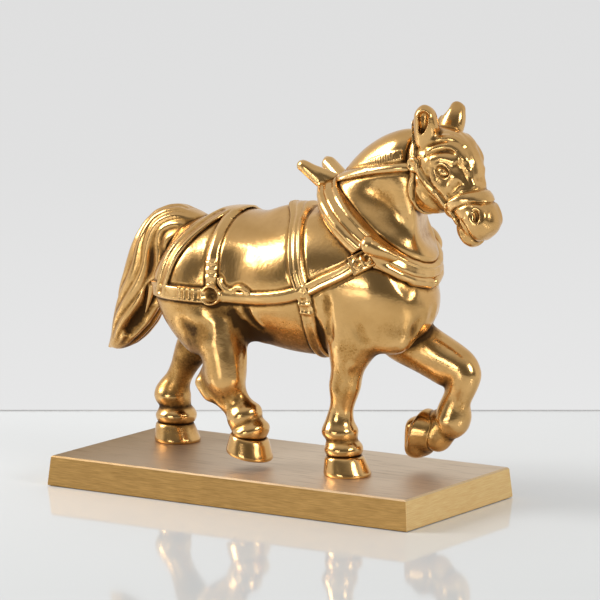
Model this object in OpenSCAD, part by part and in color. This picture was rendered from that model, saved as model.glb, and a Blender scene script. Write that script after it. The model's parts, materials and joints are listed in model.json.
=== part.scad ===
// A draft horse in harness, walking on a rectangular base.
// A bronze statuette cast in sections that are pinned and soldered together.
// Millimetres. The horse walks towards +X, +Y is its left side, and the felt under the base rests at z = 0.

/* [Base] */
// Length of the base at its foot
base_length = 220; // [205:1:250]
// Width of the base at its foot
base_width = 105; // [90:1:125]
// Height from the table to the top of the base
base_height = 16; // [14.5:0.5:19]
// How far each side leans in from foot to top
base_lean = 1.3; // [0.5:0.1:2.5]
// Chamfer round the top edge
base_edge = 0.8; // [0.4:0.1:1.6]
// Thickness of the wall round the hollow
base_wall = 7; // [5:0.5:9]
// Thickness of the top over the hollow
base_roof = 5; // [4:0.5:6]
// Ledge that the felt rests against, inside the wall
felt_ledge = 3; // [2:0.5:4]
// Thickness of the felt pad
felt_thickness = 1.6; // [1.2:0.1:2]
// How far the felt stands proud of the base
felt_proud = 0.4; // [0.2:0.1:0.8]
// Gap round the edge of the felt
felt_gap = 0.3; // [0.2:0.1:0.6]

/* [Screws] */
// Diameter of the two screws that hold the horse to the base
screw_d = 4; // [3:0.5:5]
// Diameter of a screw head
screw_head_d = 7; // [6.5:0.5:8]
// Height of a screw head
screw_head_height = 2.6; // [2:0.1:3]
// Width of the slot in a screw head
screw_slot = 1; // [0.8:0.1:1.4]
// How deep a screw reaches into the leg above the hoof
screw_grip = 8; // [6:0.5:10]
// Diameter of a washer
washer_d = 9; // [8.5:0.5:11]
// Thickness of a washer
washer_thickness = 0.8; // [0.6:0.1:1]
// Diameter of the boss round a screw hole, under the top of the base
boss_d = 14; // [12:0.5:18]
// Length of the boss below the top of the base
boss_drop = 4; // [3:0.5:4.5]
// Clearance round a screw, on the radius
screw_clearance = 0.2; // [0.1:0.05:0.3]

/* [Trunk] */
// Height of the back above the base
back_height = 131; // [125:1:138]
// Depth of the trunk from withers to girth
trunk_depth = 75; // [70:1:80]
// Width of the trunk at the ribs
trunk_width = 66; // [60:1:72]
// Length of the trunk from rump to breast
trunk_length = 162; // [154:1:172]
// Wall left round the hollow of the trunk
trunk_wall = 5; // [4:0.5:8]
// Diameter of the core hole under the belly
core_hole_d = 9; // [7:0.5:11]
// Clearance round the core plug, on the radius
plug_clearance = 0.1; // [0.05:0.05:0.2]

/* [Legs] */
// Position of the standing fore hoof along the base
fore_hoof_x = 50; // [46:1:54]
// Distance of the standing fore hoof from the middle line
fore_hoof_out = 12; // [10:0.5:15]
// Position of the standing hind hoof along the base
hind_hoof_x = -76.6; // [-80:0.2:-73]
// Distance of the standing hind hoof from the middle line
hind_hoof_out = 19.5; // [17:0.5:21]
// Height of a hoof
hoof_height = 10; // [9:0.5:11]
// Diameter of a hoof at the ground
hoof_d = 24.5; // [23:0.5:26]
// Diameter of a hoof at the top
coronet_d = 19.5; // [18:0.5:21]
// How far the top of a hoof lies behind its sole
hoof_rake = 2; // [0:0.2:3]
// Slenderness of all four legs, 1 as cast
leg_girth = 1; // [0.9:0.02:1.1]
// Diameter of the pins between castings
dowel_d = 6; // [5:0.5:7]
// Clearance round a pin, on the radius
dowel_clearance = 0.1; // [0.05:0.05:0.2]

/* [Neck and head] */
// Girth of the neck, 1 as cast
neck_girth = 1; // [0.92:0.02:1.08]
// Turn of the head to the horse's right, in degrees
head_turn = 13; // [0:1:18]
// Size of the head, 1 as cast
head_size = 1; // [0.94:0.02:1.06]
// Length of an ear
ear_length = 19; // [15:0.5:21]

/* [Harness] */
// Thickness of the straps
strap_thickness = 1.5; // [1.1:0.1:2]
// Width of the band over the back
back_band_width = 9.5; // [7:0.5:12]
// Width of the girth under the belly
girth_width = 7; // [5:0.5:9]
// Width of the traces
trace_width = 6.5; // [5:0.5:7.5]
// Height of the breeching round the rump
breeching_width = 7.5; // [6:0.5:10]
// Width of the strap from croup to ring
hip_strap_width = 5.5; // [4:0.5:7]
// Width of the strap down the back of the haunch
rear_strap_width = 7.5; // [5:0.5:9]
// Length of the pad on the croup
croup_pad_length = 20; // [16:1:24]
// Width of the pad on the croup
croup_pad_width = 18; // [14:1:22]
// Diameter of the ring bosses
ring_d = 13; // [11.5:0.5:15]
// Height of the ring bosses
ring_height = 3.4; // [2.5:0.1:4.5]
// Width of the collar along the neck
collar_width = 16; // [13:0.5:18]
// How far the collar stands out from the neck
collar_bulge = 4.2; // [3:0.2:5]
// Width of a hame along the collar
hame_width = 5; // [4:0.5:6]
// How far a hame stands out from the collar
hame_thickness = 2.2; // [1.4:0.2:3]
// Distance of each hame from the middle line, where they meet at the breast
hame_gap = 2; // [1:0.5:4]
// Length of a hame horn above the collar
horn_length = 10; // [7:0.5:12]
// Length of the plate where a trace meets the collar
tug_plate_length = 13; // [11:0.5:15]
// Height of the plate where a trace meets the collar
tug_plate_height = 9.5; // [8:0.5:11]
// How much thicker the croup pad is than a strap
pad_extra = 0.9; // [0.5:0.1:1.5]
// Thickness of the plate where a trace meets the collar
tug_plate_thickness = 3; // [2.2:0.1:3.6]

/* [Bridle] */
// Thickness of the bridle straps
bridle_thickness = 1.2; // [0.9:0.1:1.6]
// Width of the bridle straps
bridle_width = 3.6; // [2.8:0.2:4.4]
// Width of the noseband
noseband_width = 5; // [4:0.2:6]
// Width of the reins along the neck
rein_width = 4; // [3:0.2:5]
// Diameter of the rosettes
rosette_d = 7; // [5.5:0.5:8]
// Height of the rosettes
rosette_height = 2.2; // [1.6:0.2:3]
// Diameter of a bit ring to the middle of its wire
bit_ring_d = 6; // [5:0.5:7]
// Thickness of the wire of a bit ring
bit_wire_d = 1.6; // [1.2:0.1:2]

/* [Hidden] */
// Smoothness of true round things
$fn = 48;
// A little extra so that cuts pass clean through
over = 1;
// Larger than anything on the horse
far = 90;
// Height of the back above the table
back_z = base_height + back_height;
// Middle height of the trunk, which the core hole reaches up to
trunk_mid = back_z - 32;
// Height where the core hole starts, below the belly
core_start = base_height + 50;
// Where the rump starts along the base
rump_x = -68;
// The tables below are drawn for this back, this length of trunk and these places of the standing hooves
drawn_back = 131;
drawn_length = 162;
drawn_fore = [50, 12];
drawn_hind = [-76.6, 19.5];
// Heights between which a leg stretches, and the height where it no longer follows its hoof
stretch_from = 26;
stretch_to = 70;
// Everything on the body is measured up from here
body_z = base_height + back_height - drawn_back;
right = -1;
left = 1;
lengthwise = [1, 0, 0];
fore_hoof = [fore_hoof_x, right * fore_hoof_out, base_height];
hind_hoof = [hind_hoof_x, left * hind_hoof_out, base_height];
fore_step = [fore_hoof_x, fore_hoof_out] - drawn_fore;
hind_step = [hind_hoof_x, hind_hoof_out] - drawn_hind;
// The lifted hooves: x, distance out, height above the base and tilt in degrees
lifted_hind = [-4.8, 20, 6, 12];
lifted_fore = [75, 18, 21, 104];
screw_spots = [fore_hoof, hind_hoof];

// Trunk from rump to breast.
// Each row: share of the length, drop of the top line and drop of the belly as shares of the depth,
// share of the width
trunk_table = [
    [0.000, 0.36, 0.58, 0.20], [0.030, 0.22, 0.74, 0.55], [0.080, 0.125, 0.82, 0.78],
    [0.160, 0.055, 0.85, 0.94], [0.260, -0.005, 0.85, 1.00], [0.380, 0.000, 0.88, 1.00],
    [0.490, -0.02, 0.905, 1.00], [0.600, -0.09, 0.92, 1.00], [0.700, -0.095, 0.915, 0.97],
    [0.805, -0.04, 0.89, 0.92], [0.890, 0.07, 0.83, 0.81], [0.955, 0.27, 0.76, 0.57],
    [0.990, 0.46, 0.66, 0.24], [1.000, 0.53, 0.60, 0.08]
];
trunk_rows = [for (r = trunk_table) [
    rump_x + r[0] * trunk_length, 0, back_z - (r[1] + r[2]) / 2 * trunk_depth,
    (r[2] - r[1]) / 2 * trunk_depth, r[3] * trunk_width / 2
]];
// Haunches, from the hip down to the stifle: x, distance out, height above the base, half depth, half width
right_haunch_rows = [for (r = [
    [-40, 13, 117, 16, 9], [-38, 16, 108, 25, 15], [-36, 18, 96, 28.5, 17], [-33, 19, 84, 26.5, 16.5],
    [-28, 20, 72, 21.5, 14.5], [-23.5, 20, 62, 16, 12.5]]) on_body(r, right)];
left_haunch_rows = [for (r = [
    [-40, 13, 117, 16, 9], [-40, 16, 108, 25, 15], [-42, 17, 96, 27, 16.5], [-46, 18, 84, 22.5, 15.5],
    [-52, 18, 72, 16.5, 13], [-56.5, 18, 64, 12.5, 11]]) on_body(r, left)];

// Legs: x, distance out, height above the base, half depth, half width
right_fore_rows = [for (r = [
    [48.2, 12, 8, 8.2, 8.4], [47.6, 12, 14, 9.4, 9.6], [46.6, 12.2, 18, 8, 8.1],
    [45.6, 12.5, 22.5, 8.8, 8.8], [45.8, 12.8, 28.5, 7.1, 6.8], [47, 13, 35, 5.9, 5.8],
    [48.4, 13.4, 41, 6.8, 7], [49.4, 13.8, 47, 8.2, 8.3], [51, 14.4, 54, 8.3, 8.2],
    [52.5, 15.5, 64, 11, 10], [54.5, 17, 76, 15, 11.5], [57, 18, 88, 18, 12], [60, 18, 100, 16, 10]])
    on_side(slim(follow(r, fore_step)), right)];
left_fore_rows = [for (r = [
    [56, 16, 77, 15, 9], [66, 17, 69.5, 14, 11.5], [77, 17.5, 65, 12.2, 11], [88, 18, 61, 11, 9.8],
    [97, 18, 57.5, 10, 9.2], [103.5, 18, 54.6, 8.4, 8], [107.5, 18, 52.8, 4.5, 5]])
    on_side(slim(lifted(r)), left)];
left_fore_cannon_rows = [for (r = [
    [103, 18, 60, 5, 5], [102.6, 18, 55, 8.2, 8], [100.6, 18, 48, 7.8, 7.6], [97.6, 18, 41, 7.2, 6.2],
    [94.8, 18, 34.5, 7.8, 6.8], [93.4, 18, 28.8, 8.8, 8.4], [91.6, 18, 25, 7.2, 7.2],
    [90.4, 18, 22.8, 4, 4]])
    on_side(slim(lifted(r)), left)];
left_fore_foot_rows = [for (r = [
    [95, 18, 31, 6, 6], [91.4, 18, 27.2, 8, 8], [87.8, 18, 23.4, 7.9, 8], [84.6, 18, 20.6, 9.2, 9.4],
    [81.6, 18, 18.8, 9.2, 9.4]])
    on_side(slim(lifted(r)), left)];
right_hind_rows = [for (r = [
    [-28, 19, 74, 11, 10], [-23, 20, 66, 13, 11], [-19, 20, 58, 11, 10], [-21, 20, 49, 10.6, 8.8],
    [-25.5, 20, 42, 10.6, 8], [-28.5, 20, 38, 7, 6.4]])
    on_side(slim(lifted(r)), right)];
right_hind_cannon_rows = [for (r = [
    [-26, 20, 46, 7, 6.5], [-22, 20, 41.5, 10.4, 8], [-16.5, 20, 36, 8.8, 7], [-11.5, 20, 30.5, 7.6, 6.8],
    [-7.5, 20, 25.6, 9.4, 8.8], [-5.8, 20, 22, 8.7, 8.3], [-4.9, 20, 19, 10.6, 10.3],
    [-4.7, 20, 16.6, 9.1, 9.1], [-4.6, 20, 13.6, 8, 8]])
    on_side(slim(lifted(r)), right)];
left_hind_rows = [for (r = [
    [-50, 18, 78, 14, 11.5], [-56, 18, 68, 12.5, 10.5], [-62, 18, 58, 10.6, 9.4], [-66.8, 18, 50, 9.4, 8.2],
    [-71.6, 18.3, 41, 7, 6.6], [-76, 18.8, 33, 6.8, 6.6], [-79.6, 19.2, 26, 9.6, 9],
    [-79.2, 19.4, 21.8, 8.6, 8.4], [-78, 19.5, 18, 8.6, 8.6], [-77.6, 19.5, 14, 11, 10.6],
    [-78, 19.5, 8, 8.4, 8.4]])
    on_side(slim(follow(r, hind_step)), left)];
// Neck from the shoulders to the poll.
// Each row: x, height above the base, half depth, half width, distance to the right
neck_rows = [for (r = [
    [56, 104, 31, 23, 0], [58.5, 115, 34, 25, 0], [60.4, 127, 32.4, 24, 0], [59.8, 138.8, 25.2, 18.4, 0.3],
    [61.6, 151, 17.8, 14.8, 0.8], [72.8, 161.2, 15.2, 13, 2], [85.6, 164, 16, 12, 3.5], [94, 166, 13, 10, 5]])
    [along(r[0]), right * r[4], body_z + r[1], r[2] * neck_girth, r[3] * neck_girth]];
// The head is drawn straight ahead of this point and then turned about it
poll = [along(88), -3.5, body_z + 164];
// Skull from nape to lips, measured from the poll: forward, up, half depth, half width
skull_rows = [for (r = [
    [-2, 4, 9, 8], [2, 3, 14, 11], [10, 0, 19, 13.5], [19, -5, 19, 14], [27, -12, 15, 12],
    [33.5, -18.5, 11.6, 10], [39, -24, 10.8, 10.2], [43.5, -28.5, 10, 9.8], [46.8, -31.6, 7, 7.2],
    [48.2, -33, 3.4, 3.8]])
    head_row(r)];
forelock_rows = [for (r = [
    [11, 12, 4, 5], [20, 11.4, 6, 8], [29, 7, 6, 8.6], [35, 0, 5, 7.6], [38.4, -6, 2, 4]])
    head_row(r)];
cheek_rows = [for (r = [
    [2, -4, 6, 6], [4, -9, 12, 11.5], [9, -14.5, 13, 12.6], [15, -19, 9, 10.6], [19, -22, 4, 6]])
    head_row(r)];
chin_rows = [for (r = [
    [29.5, -28, 4, 4], [32.5, -30.8, 6, 6.2], [37, -35, 6.4, 6.6], [40, -38, 4, 4.4]])
    head_row(r)];
// Tail from the dock to the tip: x, height above the base, half depth, half width
tail_rows = [for (r = [
    [-42, 116, 7, 7], [-50, 119.5, 8.4, 8.4], [-59, 120.6, 9.8, 9.8], [-68.5, 118, 10.8, 11],
    [-76.5, 108.6, 11.2, 12], [-80.5, 97, 12, 13], [-84, 84, 12.6, 13.4], [-88.5, 71, 11.6, 12.4],
    [-96.5, 59, 8, 8.4], [-104, 51.5, 2.6, 2.6]])
    [along(r[0]), 0, body_z + r[1], r[2], r[3]]];

// Collar: it lies square across the neck at this place and slope, with the hames round it towards the tail
collar_middle = [along(62.6), 0, body_z + 126.4];
collar_slope = 52;
hame_back = collar_width / 16;
// Each row: share of the width along the neck, half depth, half width, and share of the bulge added to both
collar_rows = [for (r = [
    [-0.50, 34.2, 26.5, 0.1], [-0.40, 34.2, 26.5, 0.8], [-0.15, 33.8, 26.2, 1], [0.15, 32.8, 25.2, 0.95],
    [0.40, 31.2, 23.4, 0.7], [0.50, 30.4, 22.5, 0]])
    along_neck(r[0] * collar_width, r[1], r[2], r[3] * collar_bulge)];
hame_rows = [for (r = [
    [-0.50, 34.1, 26.4, 0.2], [-0.25, 33.9, 26.3, 1], [0.25, 33.5, 26.0, 1], [0.50, 33.3, 25.8, 0.2]])
    along_neck(r[0] * hame_width - hame_back, r[1], r[2], collar_bulge + r[3] * hame_thickness)];
// A hame horn: behind its foot, share of its length, half thickness
horn_table = [[3, -0.4, 2.4], [0, 0, 3], [-4, 0.35, 3], [-8, 0.75, 2.8], [-10, 1, 1.6]];
horn_spread = 0.3;
horn_base = along_neck(-hame_back, 34.2, 4.6, collar_bulge);
horn_foot = [
    horn_base.x - horn_base[3] * sin(collar_slope),
    horn_base[4],
    horn_base.z + horn_base[3] * cos(collar_slope)
];
// The egg-shaped boss where the tug leaves the hame: along the hame, half thickness
tug_boss = [[-9, 1.6], [-7, 4], [-1, 5], [5, 4.2], [9, 1.6]];
tug_boss_spot = [along(76.2), 25.4, body_z + 119.4];
tug_boss_way = [0.8, -0.45, -0.5];

// Straps seen from the side: x and height above the base as drawn, along the middle of each strap
back_band_path = on_flank([[36.5, 97], [34.5, 106], [30, 117], [23, 127], [14, 133], [5, 138]]);
girth_path = on_flank([[36.5, 93.5], [36.8, 84], [35.5, 73], [33.5, 64], [32.5, 54]]);
trace_path = on_flank([
    [70, 115.5], [58, 107.5], [46, 101.5], [36.4, 96.6], [24, 92.6], [8, 90.2], [-8, 89.6], [-19, 89.7]]);
hip_strap_path = on_flank([[-19, 89.7], [-20, 104], [-20.5, 118], [-23, 130], [-26, 140]]);
rear_strap_path = on_flank([[-24, 138], [-31, 128], [-40, 116], [-50, 103], [-58, 91]]);
ring_spot = [along(-19), body_z + 90];
tug_spot = [along(66.5), body_z + 113.2];
tug_slope = 30;
croup_x = along(-25);
breeching_z = body_z + 89.5;
rein_path = on_flank([[96, 162.5], [84, 161], [68, 158.5], [52, 155], [36, 150.5], [26, 147]]);
// Bridle straps seen from the side: forward and up from the poll
crown_path = on_bridle([[7.5, -3], [6.5, 5], [5, 13], [3.5, 24]]);
cheek_path = on_bridle([[7, 1], [14, -6.5], [21, -14], [29, -22.5]]);
noseband_path = on_bridle([[20, -30], [30, -21], [37, -16.2], [43, -12], [52, -6]]);
throat_path = on_bridle([[7.5, -1], [4.5, -9], [4, -19], [7, -34]]);
rosette_spot = [7.5, -0.5];
// Bit rings: forward and up from the poll, distance out and lean in degrees
bit_spot = [33.8, -28.5];
bit_out = 8.8;
bit_lean = 16;
// An ear: forward, out and up from the poll, half depth, half width
ear_table = [
    [10.5, 5.4, 9, 5, 4], [11.5, 7.6, 14, 6.6, 5.2], [12.6, 9.6, 19.5, 7, 5.4], [13.4, 11.2, 25.4, 5.4, 4.2]];
ear_tip = [14, 12.2, 10.5 + ear_length, 1.8, 1.4];

// Pins between the castings, each from one point to another
leg_pins = [
    [[along(54), right * 17, body_z + 58], [along(55), right * 17, body_z + 80]],
    [[along(72), left * 17.5, body_z + 60], [along(67), left * 16, body_z + 82]],
    [[along(-19.5), right * 20, body_z + 54], [along(-22), right * 19.5, body_z + 76]],
    [[along(-60), left * 18, body_z + 57], [along(-52), left * 18, body_z + 77]]
];
neck_pins = [
    [[along(58), 0, body_z + 126], [along(62), 0, body_z + 152]],
    [[along(79), -2, body_z + 157.5], [along(94), -5, body_z + 163]]
];
tail_pin = [[along(-36), 0, body_z + 116], [along(-57), 0, body_z + 128]];

function unit(v) = v / norm(v);
function place(row) = [row[0], row[1], row[2]];
// A place along the body, which moves when the trunk is longer or shorter
function along(x) = x + (trunk_length - drawn_length) * min(1, max(0, (x - rump_x) / drawn_length));
function on_body(r, side) = [along(r[0]), side * r[1], body_z + r[2], r[3], r[4]];
function on_flank(path) = [for (q = path) [along(q.x), body_z + q.y]];
function on_bridle(path) = [for (q = path) [poll.x + q.x * head_size, poll.z + q.y * head_size]];
// Legs stretch between hoof and body, and follow their hoof
function stretch(h) =
    h + (back_height - drawn_back) * min(1, max(0, (h - stretch_from) / (stretch_to - stretch_from)));
function follow(r, step) = let (k = max(0, 1 - r[2] / stretch_to))
    [along(r[0]) + k * (step.x + r[0] - along(r[0])), r[1] + k * step.y, r[2], r[3], r[4]];
function lifted(r) = [along(r[0]), r[1], r[2], r[3], r[4]];
function on_side(r, side) = [r[0], side * r[1], base_height + stretch(r[2]), r[3], r[4]];
function slim(r) = [r[0], r[1], r[2], r[3] * leg_girth, r[4] * leg_girth];
function head_row(r) = [poll.x + r[0] * head_size, poll.y, poll.z + r[1] * head_size, r[2] * head_size,
    r[3] * head_size];
function along_neck(s, depth, width, bulge) = [
    collar_middle.x + s * cos(collar_slope), collar_middle.y, collar_middle.z + s * sin(collar_slope),
    depth * neck_girth + bulge, width * neck_girth + bulge
];
// One smooth step between the middle two of four neighbours
function between(a, b, c, d, t) =
    0.5 * (2 * b + (c - a) * t + (2 * a - 5 * b + 4 * c - d) * t * t + (3 * b - a - 3 * c + d) * t * t * t);
// Rows filled in so that the form runs smoothly through them
function fair(rows, steps) = let (n = len(rows)) [
    for (i = [0 : n - 2]) for (k = [0 : steps - 1])
        between(rows[max(i - 1, 0)], rows[i], rows[i + 1], rows[min(i + 2, n - 1)], k / steps),
    rows[n - 1]
];
// Direction in which a form runs at row i
function heading(rows, i) =
    unit(place(rows[min(i + 1, len(rows) - 1)]) - place(rows[max(i - 1, 0)]));
// The outline round a form at one row, square to its direction
function outline(row, ahead, sides, lift) = let (across = unit([0, 1, 0] - ahead.y * ahead),
    up = cross(across, ahead)) [
    for (k = [0 : sides - 1]) let (a = 360 * k / sides)
        place(row) + across * (row[4] + lift) * cos(a) + up * (row[3] + lift) * sin(a)
];
// The edge of a strap of a given width along a path
function edge(path, w) = [for (i = [0 : len(path) - 1])
    let (ahead = unit(path[min(i + 1, len(path) - 1)] - path[max(i - 1, 0)])) path[i] + w * [-ahead.y,
        ahead.x]
];
function reversed(list) = [for (i = [len(list) - 1 : -1 : 0]) list[i]];

// A smooth cast form through a row of outlines; lift swells it evenly.
// The outlines stand square to the form, or all square to one way where that is given
module form(rows, steps, sides, lift = 0, way = []) {
    smooth = fair(rows, steps);
    last = len(smooth) - 1;
    ends = [-heading(smooth, 0) * lift, heading(smooth, last) * lift];
    moved = [for (i = [0 : last]) let (row = smooth[i],
        shift = i == 0 ? ends[0] : (i == last ? ends[1] : [0, 0, 0]))
        concat(place(row) + shift, [row[3], row[4]])];
    rings = [for (i = [0 : last]) each outline(moved[i], len(way) > 0 ? way : heading(smooth, i), sides,
        lift)];
    skin = [for (i = [0 : last - 1]) for (k = [0 : sides - 1])
        let (a = i * sides + k, b = i * sides + (k + 1) % sides) each [[a, b, b + sides],
            [a, b + sides, a + sides]]];
    tail_cap = [for (k = [0 : sides - 1]) [(k + 1) % sides, k, (last + 1) * sides]];
    head_cap = [for (k = [0 : sides - 1])
        [last * sides + k, last * sides + (k + 1) % sides, (last + 1) * sides + 1]];
    polyhedron(
        points = concat(rings, [place(moved[0]), place(moved[last])]),
        faces = concat(skin, tail_cap, head_cap),
        convexity = 6
    );
}

// Everything on one side of the horse inside a strap seen from the side
module strap_space(path, w, side = 0) {
    p = fair(path, 3);
    start = side > 0 ? far : (side < 0 ? 0 : far);
    length = side == 0 ? 2 * far : far;
    translate([0, start, 0])
        rotate([90, 0, 0])
            linear_extrude(length)
                polygon(concat(edge(p, w / 2), reversed(edge(p, -w / 2))));
}

// Turns what is drawn straight ahead to where the head looks
module turned() {
    translate([poll.x, poll.y, 0])
        rotate([0, 0, -head_turn])
            translate([-poll.x, -poll.y, 0])
                children();
}

// A pin of a given radius from one point to another
module pin(from, to, r) {
    way = to - from;
    translate(from)
        rotate([0, acos(way.z / norm(way)), atan2(way.y, way.x)])
            cylinder(h = norm(way), r = r);
}

// Solid forms of the castings, before holes and seats
module trunk_form(lift = 0) {
    union() {
        form(trunk_rows, 2, 28, lift, lengthwise);
        form(right_haunch_rows, 2, 20, lift);
        form(left_haunch_rows, 2, 20, lift);
    }
}

module neck_form(lift = 0) {
    form(neck_rows, 2, 24, lift);
}

module collar_form(lift = 0) {
    form(collar_rows, 2, 28, lift);
}

module skull_form(lift = 0) {
    union() {
        form(skull_rows, 2, 20, lift);
        form(cheek_rows, 2, 16, lift);
        form(chin_rows, 2, 14, lift);
    }
}

module ear(side) {
    form([for (r = concat(ear_table, [ear_tip]))
        [poll.x + r[0] * head_size, poll.y + side * r[1] * head_size, poll.z + r[2] * head_size, r[3],
            r[4]]], 2, 12);
}

module head_form() {
    turned() {
        union() {
            skull_form();
            form(forelock_rows, 2, 14);
            ear(right);
            ear(left);
        }
    }
}

module tail_form() {
    form(tail_rows, 2, 18);
}

module hoof_form() {
    hull() {
        cylinder(h = base_edge, d = hoof_d);
        translate([-hoof_rake, 0, hoof_height - base_edge])
            cylinder(h = base_edge, d = coronet_d);
    }
}

module at_right_hind() {
    translate([along(lifted_hind[0]), right * lifted_hind[1], base_height + lifted_hind[2]])
        rotate([0, lifted_hind[3], 0])
            children();
}

module at_left_fore() {
    translate([along(lifted_fore[0]), left * lifted_fore[1], base_height + lifted_fore[2]])
        rotate([0, lifted_fore[3], 0])
            children();
}

// Every pin of a list, swollen by its clearance for the holes
module all_pins(list, extra = 0) {
    for (p = list)
        pin(p[0], p[1], dowel_d / 2 + extra);
}

module hoof_pins(extra = 0) {
    at_right_hind()
        translate([0, 0, hoof_height / 2])
            cylinder(h = hoof_height, d = dowel_d + 2 * extra);
    at_left_fore()
        translate([0, 0, hoof_height / 2])
            cylinder(h = hoof_height, d = dowel_d + 2 * extra);
}

// Pieces of the base
module base_plate() {
    foot = felt_proud;
    rise = base_height - foot;
    color("darkgoldenrod")
        difference() {
            hull() {
                translate([0, 0, foot])
                    linear_extrude(base_edge)
                        square([base_length, base_width], center = true);
                translate([0, 0, foot])
                    linear_extrude(rise - base_edge)
                        square([base_length, base_width] - 2 * [base_lean, base_lean], center = true);
                translate([0, 0, foot])
                    linear_extrude(rise)
                        square([base_length, base_width] - 2 * (base_lean + base_edge) * [1, 1],
                            center = true);
            }
            difference() {
                translate([0, 0, (base_height - base_roof - over) / 2])
                    cube([base_length - 2 * base_wall, base_width - 2 * base_wall,
                        base_height - base_roof + over],
                        center = true);
                for (s = screw_spots)
                    translate([s.x, s.y, base_height - base_roof - boss_drop])
                        cylinder(h = boss_drop + base_roof, d = boss_d);
            }
            translate([0, 0, felt_thickness / 2])
                cube([base_length - 2 * (base_wall - felt_ledge), base_width - 2 * (base_wall - felt_ledge),
                    felt_thickness], center = true);
            for (s = screw_spots)
                translate([s.x, s.y, 0])
                    cylinder(h = base_height + over, r = screw_d / 2 + screw_clearance);
        }
}

module base_felt() {
    inset = base_wall - felt_ledge + felt_gap;
    color("darkgreen")
        translate([0, 0, felt_thickness / 2])
            cube([base_length - 2 * inset, base_width - 2 * inset, felt_thickness], center = true);
}

module base_screws() {
    seat = base_height - base_roof - boss_drop - washer_thickness;
    color("silver")
        for (s = screw_spots)
            translate([s.x, s.y, seat]) {
                difference() {
                    translate([0, 0, -screw_head_height])
                        cylinder(h = screw_head_height, d = screw_head_d);
                    translate([0, 0, -screw_head_height])
                        cube([screw_head_d + over, screw_slot, screw_head_height], center = true);
                }
                cylinder(h = base_height - seat + hoof_height + screw_grip, d = screw_d);
            }
}

module screw_washers() {
    color("lightgray")
        for (s = screw_spots)
            translate([s.x, s.y, base_height - base_roof - boss_drop - washer_thickness])
                difference() {
                    cylinder(h = washer_thickness, d = washer_d);
                    translate([0, 0, -over])
                        cylinder(h = washer_thickness + 2 * over, r = screw_d / 2 + screw_clearance);
                }
}

// Castings of the horse
module trunk_hollow() {
    form([for (i = [2 : len(trunk_rows) - 2]) trunk_rows[i]], 1, 20, -trunk_wall, lengthwise);
}

module trunk() {
    color("goldenrod")
        difference() {
            trunk_form();
            trunk_hollow();
            translate([0, 0, core_start])
                cylinder(h = trunk_mid - core_start, d = core_hole_d);
            all_pins(leg_pins, dowel_clearance);
            all_pins([neck_pins[0], tail_pin], dowel_clearance);
        }
}

module core_plug() {
    color("darkgoldenrod")
        difference() {
            intersection() {
                translate([0, 0, core_start])
                    cylinder(h = trunk_mid - core_start, r = core_hole_d / 2 - plug_clearance);
                form(trunk_rows, 2, 28, 0, lengthwise);
            }
            trunk_hollow();
        }
}

module neck() {
    color("goldenrod")
        difference() {
            neck_form();
            trunk_form();
            head_form();
            all_pins(neck_pins, dowel_clearance);
        }
}

module head() {
    color("goldenrod")
        difference() {
            head_form();
            all_pins([neck_pins[1]], dowel_clearance);
        }
}

module tail() {
    color("goldenrod")
        difference() {
            tail_form();
            trunk_form();
            all_pins([tail_pin], dowel_clearance);
        }
}

module right_foreleg() {
    color("goldenrod")
        difference() {
            form(right_fore_rows, 2, 16);
            trunk_form();
            translate(fore_hoof)
                hoof_form();
            all_pins([leg_pins[0]], dowel_clearance);
            translate(fore_hoof)
                cylinder(h = hoof_height + screw_grip + over, r = screw_d / 2 + screw_clearance);
        }
}

module left_foreleg() {
    color("goldenrod")
        difference() {
            union() {
                form(left_fore_rows, 2, 16);
                form(left_fore_cannon_rows, 2, 16);
                form(left_fore_foot_rows, 2, 16);
            }
            trunk_form();
            at_left_fore()
                hoof_form();
            all_pins([leg_pins[1]], dowel_clearance);
            hoof_pins(dowel_clearance);
        }
}

module right_hindleg() {
    color("goldenrod")
        difference() {
            union() {
                form(right_hind_rows, 2, 16);
                form(right_hind_cannon_rows, 2, 16);
            }
            trunk_form();
            at_right_hind()
                hoof_form();
            all_pins([leg_pins[2]], dowel_clearance);
            hoof_pins(dowel_clearance);
        }
}

module left_hindleg() {
    color("goldenrod")
        difference() {
            form(left_hind_rows, 2, 16);
            trunk_form();
            translate(hind_hoof)
                hoof_form();
            all_pins([leg_pins[3]], dowel_clearance);
            translate(hind_hoof)
                cylinder(h = hoof_height + screw_grip + over, r = screw_d / 2 + screw_clearance);
        }
}

module standing_hoof(spot) {
    color("peru")
        translate(spot)
            difference() {
                hoof_form();
                translate([0, 0, -over])
                    cylinder(h = hoof_height + 2 * over, r = screw_d / 2 + screw_clearance);
            }
}

module right_fore_hoof() {
    standing_hoof(fore_hoof);
}

module left_hind_hoof() {
    standing_hoof(hind_hoof);
}

module right_hind_hoof() {
    color("peru")
        difference() {
            at_right_hind()
                hoof_form();
            hoof_pins(dowel_clearance);
        }
}

module left_fore_hoof() {
    color("peru")
        difference() {
            at_left_fore()
                hoof_form();
            hoof_pins(dowel_clearance);
        }
}

module leg_dowels() {
    color("darkgoldenrod")
        all_pins(leg_pins);
}

module hoof_dowels() {
    color("darkgoldenrod")
        hoof_pins();
}

module neck_dowels() {
    color("darkgoldenrod")
        all_pins(neck_pins);
}

module tail_dowel() {
    color("darkgoldenrod")
        all_pins([tail_pin]);
}

// Harness on the trunk
module ring_space(side) {
    translate([ring_spot.x, 0, ring_spot.y])
        rotate([side * -90, 0, 0])
            cylinder(h = far, d = ring_d);
}

module tug_space(side) {
    translate([tug_spot.x, side * far / 2, tug_spot.y])
        rotate([0, -tug_slope, 0])
            cube([tug_plate_length, far, tug_plate_height], center = true);
}

module croup_space() {
    translate([croup_x, 0, back_z])
        cube([croup_pad_length, croup_pad_width, far / 2], center = true);
}

module breeching_space() {
    translate([ring_spot.x - far / 2, 0, breeching_z])
        cube([far, 2 * far, breeching_width], center = true);
}

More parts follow.
